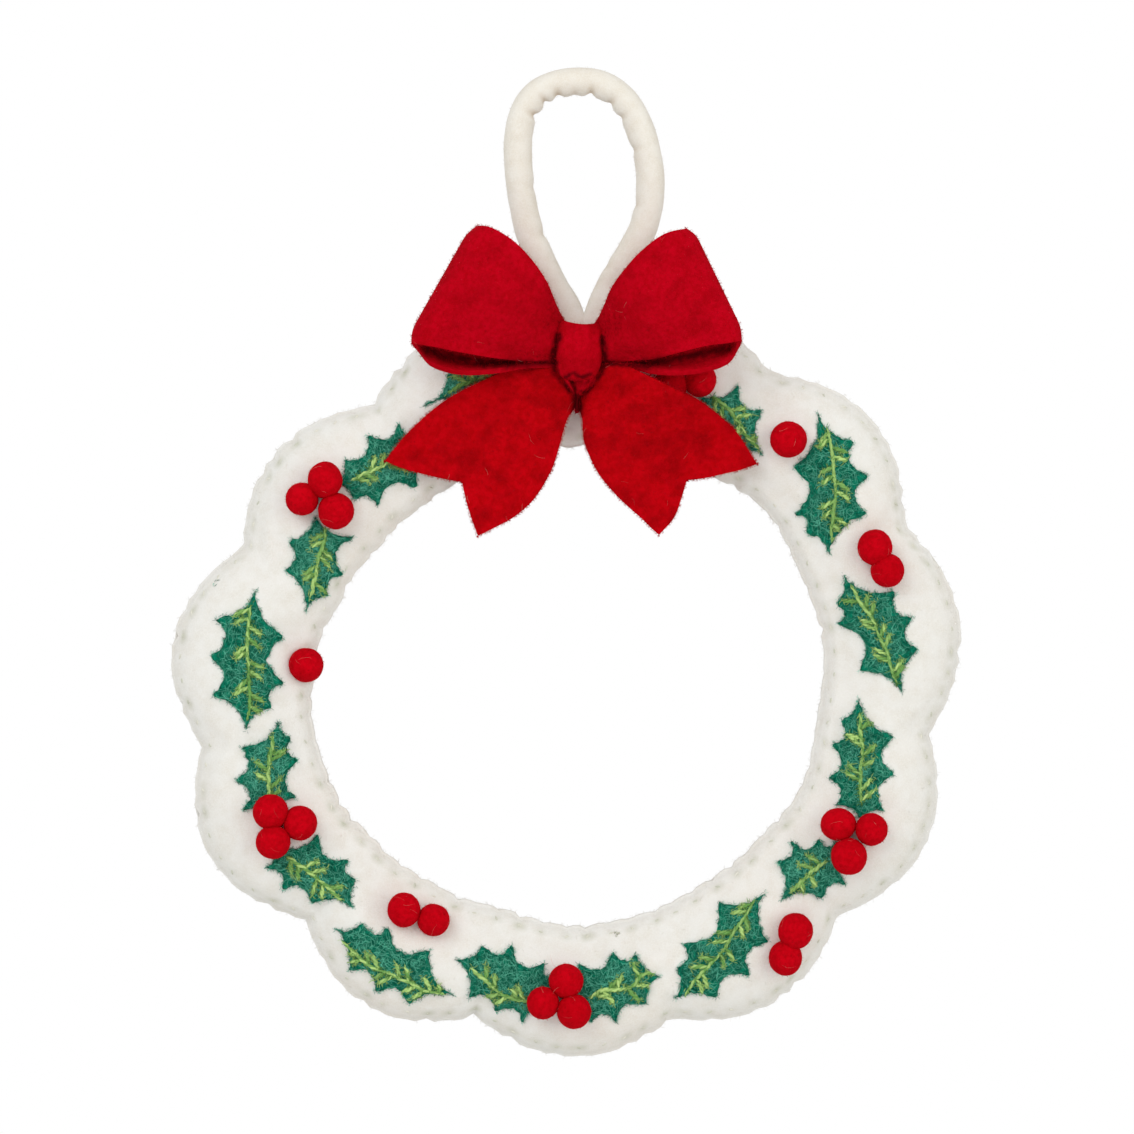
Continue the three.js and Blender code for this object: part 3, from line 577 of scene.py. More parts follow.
# How far the wadding stays inside the edges, its share of the room between the faces and its lumps, in mm
WADDING_INSET, WADDING_SHARE, WADDING_LUMPS = 6.5, 0.84, 0.5


def wadding_ring(around=330, across=24):
    """The wool that fills the ring, loosely, between its two faces."""
    angle, inner, outer, share = (values[:, None] for values in ring_at(ring_places(around)))
    turn = np.arange(across) / across * 2 * np.pi
    radius = (inner + outer) / 2 - np.cos(turn) * ((outer - inner) / 2 - WADDING_INSET)
    within_it = (radius - inner - HEM) / (outer - inner - 2 * HEM)
    rise = np.abs(np.sin(turn)) ** 0.7 * WADDING_SHARE
    height = np.where(np.sin(turn) >= 0, (front_height(within_it, share) - FELT) * rise,
                      -(back_height(within_it) - FELT) * rise)
    filling, _ = torus_of("wadding", ring_points(angle, radius, height))
    lumps = points_of(filling)
    away = np.stack([uneven(lumps / MM, 9, seed) for seed in (61, 62, 63)], axis=1)
    move_points(filling, lumps + away * WADDING_LUMPS * MM)
    face_outwards(filling)
    smooth(filling, 80)
    return filling


filling = wadding_ring()


def tree_of(*pieces):
    """A tree that finds where a line meets these pieces."""
    corners, faces = [], []
    for piece in pieces:
        first = len(corners)
        corners += [tuple(point) for point in points_of(piece)]
        faces += [[first + index for index in face.vertices] for face in piece.data.polygons]
    return BVHTree.FromPolygons(corners, faces)


front_tree = tree_of(front_face)
# How far off a line starts that looks for the ring, and the height of the padding and the least height, in front
# of the seam, for a point that lies beside it, in mm
LOOK_FROM, PADDING_HEIGHT, LEAST_HEIGHT = 200, 15, 1.5


def lie_on(tree, points, lift, facing=1):
    """Moves points in mm to lie on what the tree holds, lifted off it; facing is -1 for the back of the wreath."""
    lifts = np.broadcast_to(lift, len(points))
    laid = []
    for (x, _, z), rise in zip(points, lifts):
        start = Vector((x, -LOOK_FROM * facing, z)) * MM
        hit, normal, _, _ = tree.ray_cast(start, Vector((0, facing, 0)))
        if hit is None:
            nearest = tree.find_nearest(Vector((x, -PADDING_HEIGHT, z)) * MM)[0]
            hit = Vector((x * MM, min(nearest.y, -LEAST_HEIGHT * MM), z * MM))
            normal = Vector((0, -1, 0))
        laid.append(np.array(hit) / MM + np.array(normal) * rise)
    return np.array(laid)


def stitch_threads(line, outer_edge, tree, facing, seed):
    """The short threads that lie in the dents along one edge of one face."""
    pick = np.random.default_rng(seed)
    angle, middles = stitch_points(line[2], outer_edge)
    turned = pick.normal(0, 0.35, len(angle)) - angle
    share = np.linspace(-0.5, 0.5, stitch[1].max() + 1)
    length = STITCH_LENGTH * pick.uniform(0.7, 1.15, len(angle))
    ahead = np.stack([np.cos(turned), np.zeros_like(turned), np.sin(turned)], axis=1)
    points = middles[:, None] + ahead[:, None] * (share * length[:, None])[..., None]
    rise = np.tile(-0.02 - 2.4 * share ** 2, len(points))
    laid = lie_on(tree, points.reshape(-1, 3), rise, facing).reshape(points.shape)
    return strands("stitches", laid, THREAD_RADIUS, stitch, seed)


back_tree = tree_of(back_face)
threads = {}
for edge_name, outer_edge in (("outer", True), ("inner", False)):
    both = [stitch_threads(stitch_lines[outer_edge], outer_edge, tree, facing, seed + outer_edge)
            for tree, facing, seed in ((front_tree, 1, 20), (back_tree, -1, 30))]
    threads[edge_name] = join(both, edge_name + "_stitches")


# The leaves, as pixels of the photograph: a tip, the spikes down one side, the base, the spikes down the
# other side from the tip, the points of the middle vein from its start to where its side veins point
leaves = [
    [(424, 406), [(448, 372), (484, 348)], (530, 345), [(462, 402), (500, 384)],
     [(512, 360), (500, 365), (485, 375), (463, 385), (447, 394)]],
    [(338, 484), [(343, 460), (367, 434), (398, 422)], (432, 448), [(353, 501), (377, 508), (417, 489)],
     [(350, 480), (372, 470), (396, 460), (420, 452)]],
    [(305, 611), [(283, 570), (287, 541)], (315, 517), [(328, 596), (343, 576), (356, 537)],
     [(326, 526), (323, 540), (317, 562), (313, 582), (309, 598)]],
    [(255, 591), [(214, 618), (208, 657), (211, 696)], (246, 730), [(285, 635), (284, 684), (272, 708)],
     [(250, 604), (249, 630), (247, 660), (249, 692), (247, 722)]],
    [(278, 723), [(240, 747), (233, 780), (242, 812)], (272, 812), [(291, 739), (298, 761), (297, 799)],
     [(266, 803), (269, 785), (269, 769), (270, 752), (272, 735)]],
    [(353, 908), [(356, 880), (349, 860), (319, 834)], (276, 848), [(310, 905), (281, 891), (265, 869)],
     [(285, 855), (303, 868), (322, 884), (343, 900)]],
    [(335, 931), [(363, 922), (388, 928), (429, 949)], (454, 997), [(347, 972), (375, 996), (408, 1007)],
     [(447, 995), (424, 990), (408, 982), (386, 973), (366, 963), (352, 950), (340, 939)]],
    [(457, 960), [(483, 946), (512, 945), (545, 964), (553, 979)], (552, 1000),
     [(468, 1000), (495, 1014), (523, 1025)], [(531, 1003), (503, 995), (488, 983), (470, 967)]],
    [(660, 977), [(637, 956), (614, 951), (578, 963)], (566, 998), [(647, 1008), (617, 1024), (590, 1024)],
     [(588, 998), (603, 991), (629, 987), (642, 976), (656, 975)]],
    [(764, 895), [(717, 902), (682, 943), (676, 968)], (675, 1001), [(769, 943), (751, 977), (717, 1000)],
     [(757, 898), (738, 928), (727, 946), (716, 958), (703, 972), (683, 998)]],
    [(782, 900), [(777, 862), (791, 841), (820, 839), (836, 844)], (842, 858), [(824, 900), (847, 886)],
     [(828, 860), (815, 870), (803, 881), (790, 893)]],
    [(859, 700), [(841, 721), (833, 746), (828, 779), (835, 806)], (862, 820),
     [(896, 736), (896, 775), (886, 811)], [(862, 806), (861, 775), (862, 756), (862, 738), (860, 712)]],
    [(844, 576), [(896, 590), (914, 617), (920, 650)], (902, 692), [(837, 603), (838, 625), (858, 673)],
     [(898, 685), (890, 663), (885, 646), (877, 629), (869, 614), (861, 602), (850, 584)]],
    [(818, 413), [(855, 440), (870, 475), (869, 514)], (830, 554), [(792, 467), (794, 514), (807, 534)],
     [(826, 425), (833, 456), (834, 478), (835, 495), (835, 511), (832, 543)]],
    [(762, 453), [(764, 409), (740, 384)], (700, 396), [(740, 455), (716, 440), (690, 420)],
     [(712, 396), (725, 405), (736, 420), (748, 436), (759, 450)]],
]
# A leaf's thickness above the ring and the width of its rounded edge, in mm, and how deep the arcs between its
# spikes are, as a share of their length: those that end at its tip or base, then the others
LEAF_RELIEF, LEAF_EDGE = 1.15, 2.6
END_HOLLOW, SIDE_HOLLOW = 0.17, 0.36
LEAF_ROWS, LEAF_COLUMNS = 96, 24
# How far in front of the seam a leaf, its strands and a berry are seen, in mm
LEAF_HEIGHT, STRAND_HEIGHT, BERRY_HEIGHT = 16.5, 17, 22


def leaf_side(tip, spikes, base):
    """One side of a leaf: hollow arcs from spike to spike, with a ragged edge."""
    corners = np.array([tip, *spikes, base], float)
    middle = (corners[0] + corners[-1]) / 2
    share = np.linspace(0, 1, 30, endpoint=False)[:, None]
    line = []
    for index, (start, end) in enumerate(zip(corners, corners[1:])):
        chord = end - start
        inwards = np.array([-chord[1], chord[0]])
        inwards = inwards * math.copysign(1, np.dot(inwards, middle - (start + end) / 2))
        depth = inwards * (END_HOLLOW if index in (0, len(corners) - 2) else SIDE_HOLLOW)
        line.append(start + chord * share + depth * 4 * share * (1 - share))
    line = np.concatenate(line + [corners[-1:]])
    ragged = np.random.default_rng(int(sum(tip) + sum(base) + len(spikes))).normal(0, 1.1, line.shape)
    ragged = (ragged + np.roll(ragged, 1, axis=0) + np.roll(ragged, 2, axis=0)) / 3
    ragged[[0, -1]] = 0
    blunt = (line[:-4] + line[1:-3] + line[2:-2] + line[3:-1] + line[4:]) / 5
    return np.concatenate([line[:2], blunt, line[-2:]]) + ragged


def leaf_sides(row):
    """Both sides of a leaf, from its tip to its base."""
    tip, one_side, base, other_side, _ = row
    return leaf_side(tip, one_side, base), leaf_side(tip, other_side, base)


def leaf_pad(name, row):
    """The felted pad of a leaf, laid on the ring."""
    left, right = (evenly(side, LEAF_ROWS + 1) for side in leaf_sides(row))
    seed = sum(row[0]) % 97

    def place(points):
        down, turn = ball_steps(points)
        across = (1 - np.cos(turn)) / 2
        left_here, right_here = at_share(left, down), at_share(right, down)
        flat = seen(left_here + (right_here - left_here) * across[:, None], LEAF_HEIGHT)
        width = np.linalg.norm(right_here - left_here, axis=1) * PIXEL
        round_off = np.clip(np.minimum(across, 1 - across) * width / LEAF_EDGE, 0, 1)
        relief = LEAF_RELIEF * np.sqrt(1 - (1 - round_off) ** 2)
        wavy = 1 + 0.25 * uneven(flat, 4.5, seed)
        return lie_on(front_tree, flat, np.where(turn >= 0, relief * wavy, -0.5 - 0.5 * round_off))

    pad = shaped(name, bpy.ops.mesh.primitive_uv_sphere_add, place, radius=1,
                 segments=2 * LEAF_COLUMNS, ring_count=LEAF_ROWS)
    face_the_front(pad)
    smooth(pad, 80)
    return pad


def within(outline, points):
    """Which points lie inside a closed outline, both in pixels."""
    inside = np.zeros(points.shape[:-1], bool)
    for (x, y), (next_x, next_y) in zip(outline, np.roll(outline, -1, axis=0)):
        if y != next_y:
            crosses = (points[..., 1] < y) != (points[..., 1] < next_y)
            inside ^= crosses & (points[..., 0] < x + (points[..., 1] - y) / (next_y - y) * (next_x - x))
    return inside


def leaf_outline(row):
    """The closed outline of a leaf, in pixels."""
    one, other = leaf_sides(row)
    return evenly(np.concatenate([one, other[::-1]]), 160)


def laid_strands(name, tree, flat_paths, radius, pattern, lift, seed):
    """Strands whose paths, in pixels, are laid on what the tree holds."""
    count, steps = flat_paths.shape[:2]
    points = seen(flat_paths.reshape(-1, 2), STRAND_HEIGHT)
    laid = lie_on(tree, points, np.broadcast_to(lift, (count, steps)).ravel())
    return strands(name, laid.reshape(count, steps, 3), radius, pattern, seed)


# How much loose wool lies on a leaf and strays over its edge, with its lengths in pixels and radii in mm
LEAF_FIBRES, EDGE_FIBRES = 900, 700
FIBRE_LENGTHS, EDGE_LENGTHS = (8, 19), (2.5, 5)
FIBRE_RADII, EDGE_THINNER = (0.08, 0.145), 0.65
# The side veins, in pixels: how far apart, how far from the middle vein's ends, how long and how long at least
VEIN_STEP, VEIN_MARGIN = 8.6, 7
SIDE_LENGTHS, SIDE_LEAST = (14, 18), 5
# A vein's yarn, twisted from two strands: their radii in mm, the length of a twist and its reach in pixels, and
# how many loose fibres each line of it has
VEIN_RADII = (0.54, 0.74)
TWIST_LENGTH, TWIST_REACH = 13, 0.98
VEIN_FIBRES = 40


def leaf_fibres(row, tree, seed):
    """The curly wool of a leaf, and the ends that stray over its edge."""
    pick = np.random.default_rng(seed)
    outline = leaf_outline(row)
    starts = pick.uniform(outline.min(axis=0), outline.max(axis=0), (LEAF_FIBRES * 8, 2))
    paths = strays(pick, starts, FIBRE_LENGTHS, 2.4)
    kept = paths[within(outline, paths).all(axis=1)][:LEAF_FIBRES]
    chosen = pick.integers(0, len(outline), EDGE_FIBRES)
    at_edge = outline[chosen]
    ahead = np.roll(outline, -1, axis=0)[chosen] - at_edge
    heading = np.arctan2(ahead[:, 1], ahead[:, 0]) + pick.normal(0, 0.7, EDGE_FIBRES)
    heading += np.pi * (pick.random(EDGE_FIBRES) < 0.5)
    drawn_in = pick.uniform(-0.03, 0.03, (EDGE_FIBRES, 1))
    edge = wander(at_edge + (outline.mean(axis=0) - at_edge) * drawn_in, heading,
                  pick.uniform(*EDGE_LENGTHS, EDGE_FIBRES), pick.normal(0, 1.5, EDGE_FIBRES), FIBRE_STEPS)
    paths = np.concatenate([kept, edge])
    lift = arched(pick, len(paths), 0.32, -0.06, (0.5, 1.3))
    radius = pick.uniform(*FIBRE_RADII, len(paths)) * np.where(np.arange(len(paths)) < len(kept), 1, EDGE_THINNER)
    return laid_strands("leaf_wool", tree, paths, radius, fibre, lift, seed)


def leaf_veins(row, tree, seed):
    """The middle vein and its side veins, two and two on either side, as twisted wool yarn."""
    pick = np.random.default_rng(seed)
    outline = leaf_outline(row)
    steps = yarn[1].max()
    bends = np.interp(np.linspace(0, 1, 120), np.linspace(0, 1, 11), pick.uniform(-1.5, 1.5, 11))
    middle = along(row[4], 120) + bends[:, None] * (np.ptp(row[4], axis=0)[::-1] > np.ptp(row[4], axis=0))
    whole = np.linalg.norm(np.diff(middle, axis=0), axis=1).sum()
    lines = [evenly(middle[:72], steps + 1), evenly(middle[60:], steps + 1)]
    for index in range(int((whole - 2 * VEIN_MARGIN) / VEIN_STEP)):
        share = (VEIN_MARGIN + (index + pick.uniform(-0.2, 0.2)) * VEIN_STEP) / whole
        before, start, after = at_share(middle, np.array([share - 0.05, share, share + 0.05]))
        ahead = after - before
        side = 1 if (index // 2) % 2 == 0 else -1
        heading = math.atan2(ahead[1], ahead[0]) + side * pick.uniform(0.75, 1.15)
        length = pick.uniform(*SIDE_LENGTHS)
        while length > SIDE_LEAST:
            line = wander(start[None], np.array([heading]), np.array([length]), np.array([-side * 0.35]), steps)[0]
            if within(outline, line[-1:])[0]:
                break
            length -= 1.5
        lines.append(line)
    paths, lifts, radii = [], [], []
    share = np.linspace(0, 1, steps + 1)
    for line in lines:
        ahead = unit(np.gradient(line, axis=0))
        across = np.stack([-ahead[:, 1], ahead[:, 0]], axis=1)
        phase = pick.uniform(0, 2 * np.pi)
        turns = np.linalg.norm(np.diff(line, axis=0), axis=1).sum() / TWIST_LENGTH
        for half in (0, np.pi):
            angle = phase + half + share * turns * 2 * np.pi
            paths.append(line + across * (np.cos(angle) * TWIST_REACH)[:, None])
            lifts.append(np.sin(angle) * 0.28 + 0.3)
            radii.append(pick.uniform(*VEIN_RADII))
    return laid_strands("leaf_veins", tree, np.array(paths), radii, yarn, np.array(lifts), seed), lines


def vein_fibres(lines, tree, seed):
    """The loose ends of the veins' yarn."""
    pick = np.random.default_rng(seed)
    count = VEIN_FIBRES * len(lines)
    starts = np.array([at_share(lines[index % len(lines)], np.array(pick.random())) for index in range(count)])
    paths = strays(pick, starts + pick.normal(0, 1.2, (count, 2)), (3, 6.5), 1.6)
    lift = arched(pick, count, 0.4, 0.35, (0.3, 1.6))
    return laid_strands("vein_wool", tree, paths, pick.uniform(0.1, 0.18, count), fibre, lift, seed)


def loose_ends(name, at, count, length, radius, seed):
    """A few curled strands on the ring, round a place in pixels."""
    pick = np.random.default_rng(seed)
    paths = strays(pick, np.array(at) + pick.normal(0, 1.1, (count, 2)), (0.6 * length, length), 2.6)
    return laid_strands(name, front_tree, paths, radius, fibre, arched(pick, count, 0.7, 0, (0.4, 1.2)), seed)


# The end of the sewing thread, knotted at the hole's edge, and the fibres that strayed from one leaf
knotted = loose_ends("thread_end", (617, 936), count=6, length=3.6, radius=0.42, seed=71)
threads["inner"] = join([threads["inner"], knotted], "inner_stitches")
strayed = loose_ends("stray_fibre", (214, 583), count=4, length=5, radius=0.12, seed=72)
STRAYED_FROM = 3
leaf_parts = []
for index, row in enumerate(leaves):
    pad = leaf_pad(f"leaf_{index + 1:02d}", row)
    # The first leaf's wool also lies on the ring's face beside it
    tree = tree_of(pad, front_face) if index == 0 else tree_of(pad)
    wool_ends = leaf_fibres(row, tree, 100 + index)
    if index == STRAYED_FROM:
        wool_ends = join([wool_ends, strayed], "leaf_wool")
    veins, vein_lines = leaf_veins(row, tree, 200 + index)
    leaf_parts.append((pad, wool_ends, veins, vein_fibres(vein_lines, tree, 300 + index)))

# The berries: centre and radius in pixels
berries = [
    [(325, 480), 18], [(302, 499), 16], [(336, 511), 18.5], [(306, 665), 18], [(270.5, 812), 17.6],
    [(300, 823), 17], [(273, 842), 17.6], [(404, 910), 17], [(433.5, 920), 16.5], [(566, 981), 17.3],
    [(543, 1003), 16.3], [(574, 1011.5), 17.3], [(795.5, 931), 18], [(785.5, 958), 17.4],
    [(838.5, 824.5), 17.3], [(871.5, 829.5), 16.5], [(849, 856.5), 18.2], [(875, 547.5), 18],
    [(887.5, 570.5), 16.7], [(788.5, 439.5), 18], [(700, 380), 17], [(671, 384), 16.5],
]
# A berry's radius at its height, as a share of what its pixels measure at the seam, and how far it sinks in, in mm
BERRY_SHARE = 0.985
BERRY_SINK = 0.6


def berry(name, row, seed):
    """A felted ball that sits in the ring's face."""
    pixel, radius = row
    radius *= PIXEL * BERRY_SHARE
    rest = lie_on(front_tree, [seen(pixel, BERRY_HEIGHT)], radius - BERRY_SINK)[0]
    centre = seen(pixel, -rest[1])
    pick = random.Random(seed)
    squash = np.array([1 + pick.uniform(-0.04, 0.04), 1, 1 + pick.uniform(-0.04, 0.04)])

    def place(points):
        lumps = 1 + 0.022 * uneven(points * 10, 7, seed) + 0.008 * uneven(points * 10, 1.6, seed + 50)
        return centre + points * radius * squash * lumps[:, None]

    ball = shaped(name, bpy.ops.mesh.primitive_ico_sphere_add, place, radius=1, subdivisions=5)
    smooth(ball, 90)
    return ball


balls = [berry(f"felt_berry_{index + 1:02d}", row, index + 1) for index, row in enumerate(berries)]

# The bow: how thick its felt is and how far in front of the seam it is seated, then how far above that seat the
# tails, the loops' backs and the loops' fronts stand, in mm
BOW_FELT = 2.2
BOW_SEAT = 15.2
TAIL_REST, LOOP_REST, LOOP_BULGE = 4.0, 8.4, 31.0
# How far down the end of a tail its notch is, as a share
NOTCH = 0.6
# The loops and tails, as pixels of the photograph from the knot outwards: their upper and lower edges, the lower
# edge of a loop's back and the cut end of a tail. Each also stands higher by its lift in mm
loops = {
    "left": {
        "top": [(580, 334), (564, 323), (554, 304), (545, 282), (531, 260), (512, 240), (490, 228), (472, 229)],
        "foot": [(580, 372), (548, 362), (520, 360), (485, 356), (450, 350), (424, 344), (409, 340)],
        "back_foot": [(580, 372), (548, 366), (521, 367), (497, 371), (468, 373), (446, 370), (426, 361), (409, 340)],
        "lift": 0.0,
    },
    "right": {
        "top": [(580, 334), (597, 323), (606, 306), (614, 287), (627, 268), (643, 250), (665, 234), (691, 230)],
        "foot": [(580, 372), (622, 361), (655, 358), (679, 352), (705, 346), (722, 343), (743, 337)],
        "back_foot": [(580, 372), (610, 366), (631, 367), (655, 372), (683, 373), (713, 368), (735, 357), (743, 337)],
        "lift": 7.6,
    },
}
tails = {
    "left": {
        "top": [(580, 376), (545, 366), (517, 368), (489, 378), (454, 395), (430, 412), (405, 436), (385, 461)],
        "end": [(385, 461), (402, 468), (419, 473), (440, 478), (462, 482),
                (464, 492), (467, 504), (472, 520), (478, 536)],
        "foot": [(584, 386), (577, 404), (566, 420), (559, 448), (550, 473),
                 (534, 499), (514, 517), (492, 529), (478, 536)],
        "lift": 0.0,
    },
    "right": {
        "top": [(578, 376), (605, 366), (625, 366), (653, 378), (680, 391),
                (701, 402), (723, 419), (738, 434), (757, 464)],
        "end": [(757, 464), (740, 470), (723, 474), (705, 478), (687, 480),
                (684, 490), (681, 500), (674, 518), (659, 535)],
        "foot": [(574, 386), (578, 405), (584, 420), (585, 442), (598, 472),
                 (618, 497), (641, 518), (650, 527), (659, 535)],
        "lift": 13.0,
    },
}


def bezier(corners, share):
    """The points at these shares of the curve that four corners guide."""
    a, b, c, d = np.array(corners, float)
    share = share[:, None]
    return (a * (1 - share) ** 3 + 3 * b * share * (1 - share) ** 2
            + 3 * c * share ** 2 * (1 - share) + d * share ** 3)


def felt_strip(name, grid, rounding=0.8):
    """A sheet of felt whose middle follows this grid of points, with soft cut edges."""
    rows, columns = grid.shape[:2]

    def place(points):
        row = np.rint((points[:, 1] + 1) / 2 * (rows - 1)).astype(int)
        column = np.rint((points[:, 0] + 1) / 2 * (columns - 1)).astype(int)
        return grid[row, column]

    strip = shaped(name, bpy.ops.mesh.primitive_grid_add, place, size=2,
                   x_subdivisions=columns - 1, y_subdivisions=rows - 1)
    finish_with(strip, "SOLIDIFY", thickness=BOW_FELT * MM, offset=0, use_even_offset=False)
    face_outwards(strip, merge=False)
    finish_with(strip, "BEVEL", width=rounding * MM, segments=2, limit_method="ANGLE",
                angle_limit=math.radians(50))
    smooth(strip, 80)
    return strip


def bow_loop(name, outline, steps=(40, 16, 34), columns=44):
    """A strip that leaves the knot in front, folds over at its outer end and comes back behind."""
    top, foot, back = (along(outline[key], 60) for key in ("top", "foot", "back_foot"))
    rest = LOOP_REST + outline["lift"]
    bulge = LOOP_BULGE + outline["lift"] * 0.3
    fold = bulge - BOW_FELT
    # The front, the fold and the back: each is a curve whose corners are a share of the way out and a height in mm
    parts = [
        [(0.03, 4.0), (0.24, 4.5), (0.36, bulge), (0.80, fold)],
        [(0.80, fold), (1.067, fold), (1.067, rest), (0.80, rest)],
        [(0.80, rest), (0.48, rest), (0.30, 3.4), (0.03, 1.5)],
    ]
    rows, travelled = [], []
    for index, (corners, count) in enumerate(zip(parts, steps)):
        share = np.linspace(0, 1, count + 1)[0 if index == 0 else 1:]
        rows.append(bezier(corners, share))
        travelled.append(index + share)
    rows, travelled = np.concatenate(rows), np.concatenate(travelled)
    down = np.linspace(0, 1, columns)[None]
    reach = np.clip(rows[:, :1], 0, 1)
    behind = eased(travelled - 1)[:, None]
    before = 1 - behind
    # The corners of the strip are rounded off a little at its fold
    corners = 0.035 * (np.clip((down - 0.86) / 0.14, 0, 1) ** 2 + np.clip((0.1 - down) / 0.1, 0, 1) ** 2)
    rounded = reach - eased((reach - 0.7) / 0.3) * corners
    high = at_share(top, rounded)
    low = at_share(foot, rounded) * before[..., None] + at_share(back, rounded) * behind[..., None]
    pixels = high + (low - high) * down[..., None]
    # Pleats by the knot, an arch across the front, a lower half that sinks back, and a lip where the back turns up
    pleat = 1.3 * np.sin(down * np.pi * 3.2 + 0.4) * np.exp(-((reach - 0.3) / 0.22) ** 2) * before
    arch = 2.0 * np.sin(np.pi * down) * before * np.sin(np.pi * reach) * (travelled[:, None] > 0)
    sunk = 8.0 * eased((down - 0.35) / 0.65) * before * eased(reach * 2.2) * eased((1 - reach) * 4)
    sunk = sunk + 2.5 * eased((down - 0.5) / 0.5) * (1 - eased(reach / 0.3)) * before
    lip = 9.0 * eased((down - 0.93) / 0.07) * behind * eased(reach * 2) * eased((1 - reach) * 5)
    return felt_strip(name, seen(pixels, BOW_SEAT + rows[:, 1:] + pleat + arch - sunk + lip))


def bow_tail(name, outline, rows=56, columns=36):
    """A tail that lies over the ring and ends in a swallow's notch."""
    top, foot = along(outline["top"], 80), along(outline["foot"], 80)
    end = np.array(outline["end"], float)
    corner = len(end) // 2
    first, second = along(end[:corner + 1], 40), along(end[corner:], 40)
    down = np.linspace(0, 1, columns)
    share = np.linspace(0, 1, rows)
    edge = np.where((down < NOTCH)[:, None], at_share(first, down / NOTCH),
                    at_share(second, (down - NOTCH) / (1 - NOTCH)))
    across = down[None, :, None]
    straight = at_share(top, share)[:, None] * (1 - across) + at_share(foot, share)[:, None] * across
    pixels = straight + (edge - straight[-1])[None] * share[:, None, None] ** 3
    down, share = down[None], share[:, None]
    rise = BOW_FELT + (TAIL_REST - BOW_FELT) * eased(share / 0.35)
    bump = outline["lift"] * np.sin(np.pi * np.minimum(1, share / 0.85)) ** 2 * (1 - down)
    wave = 0.9 * np.sin(down * 5.5 + share * 2.2 + 0.6) * eased(share * 2)
    pleat = 0.9 * np.sin(down * np.pi * 3) * np.exp(-((share - 0.2) / 0.12) ** 2)
    return felt_strip(name, seen(pixels, BOW_SEAT + rise + bump + wave + pleat))


bow_pieces = {}
for side in ("left", "right"):
    bow_pieces["loop_" + side] = bow_loop("ribbon_loop_" + side, loops[side])
    bow_pieces["tail_" + side] = bow_tail("ribbon_tail_" + side, tails[side])


def wrapped(name, left, right, front, behind, height, rings=48, crease=0.5, sag=0):
    """A closed piece of wrapped felt between two side lines in pixels, rounded to the front and the back.

    Its top edge hangs by the sag, in pixels, in the middle.
    """
    left, right = along(left, 60), along(right, 60)

    def place(points):
        down, turn = ball_steps(points)
        across = (1 - np.sign(np.cos(turn)) * np.abs(np.cos(turn)) ** 0.8) / 2
        pixels = at_share(left, down) * (1 - across)[:, None] + at_share(right, down) * across[:, None]
        pixels[:, 1] += sag * np.sin(np.pi * across) * np.clip(1 - down / 0.35, 0, 1)
        ends = np.sin(np.pi * down) ** 0.5
        round_it = np.abs(np.sin(turn)) ** 0.75
        folds = crease * (np.sin(across * 11 + down * 3) + 0.6 * np.sin(across * 23 - down * 5))
        folds *= round_it * eased(np.sin(np.pi * down) * 1.5)
        depth = np.where(turn <= 0, front * round_it * ends + folds, -behind * round_it * ends)
        return seen(pixels, height + depth)

    piece = shaped(name, bpy.ops.mesh.primitive_uv_sphere_add, place, radius=1, segments=64, ring_count=rings)
    face_outwards(piece)
    smooth(piece, 90)
    return piece


def bow_knot():
    """The band wound round the middle of the bow, and the tuck below it."""
    band = wrapped("ribbon_knot",
                   [(579, 327), (561, 320), (557, 328), (556, 342), (556, 358), (557, 370), (563, 378), (576, 382)],
                   [(582, 327), (598, 323), (602, 329), (602, 342), (602, 356), (600, 368), (594, 377), (582, 382)],
                   front=8.4, behind=5.8, height=BOW_SEAT + 7.0, crease=0.4, sag=5)
    tuck = wrapped("ribbon_tuck", [(574, 366), (562, 374), (565, 384), (574, 397), (575, 414)],
                   [(588, 366), (598, 374), (593, 386), (581, 397), (579, 414)],
                   front=4.4, behind=4.0, height=BOW_SEAT + 4.4, rings=40, crease=1.5)
    return join([band, tuck], "ribbon_knot")


bow_pieces["knot"] = bow_knot()

# Painted shade on the bow, where its clefts and hollows lie in shadow: along the knot's sides and tuck, in the gap
# between the tails and under the loops' fronts. Lines in pixels, their width in pixels and strength, and the greatest
# height in front of the seam, in mm, of what they darken
painted_shade_lines = [
    ([(559, 336), (555, 346), (553, 362), (556, 375)], 3.4, 1.5, 99),
    ([(556, 375), (566, 386), (574, 398)], 3.0, 1.1, 99),
    ([(602, 338), (604, 348), (605, 362), (602, 372)], 3.2, 1.3, 99),
    ([(602, 372), (591, 387), (581, 398)], 2.8, 0.8, 99),
    ([(577, 398), (577, 416)], 4.4, 2.2, 99),
    ([(508, 365), (530, 364), (556, 362)], 2.8, 1.4, 99),
    ([(604, 363), (622, 364), (648, 367)], 2.8, 1.4, 99),
    ([(566, 377), (573, 373), (581, 377), (590, 374)], 2.6, 0.9, 99),
    ([(571, 381), (575, 388), (583, 392)], 2.4, 0.8, 99),
    ([(588, 381), (582, 386)], 2.4, 0.7, 99),
    ([(578, 386), (577, 398)], 8.0, 0.45, 99),
    ([(426, 349), (450, 357), (485, 363), (530, 364)], 5.0, 1.2, 33),
    ([(726, 348), (705, 353), (679, 359), (640, 364)], 5.0, 1.2, 37),
]


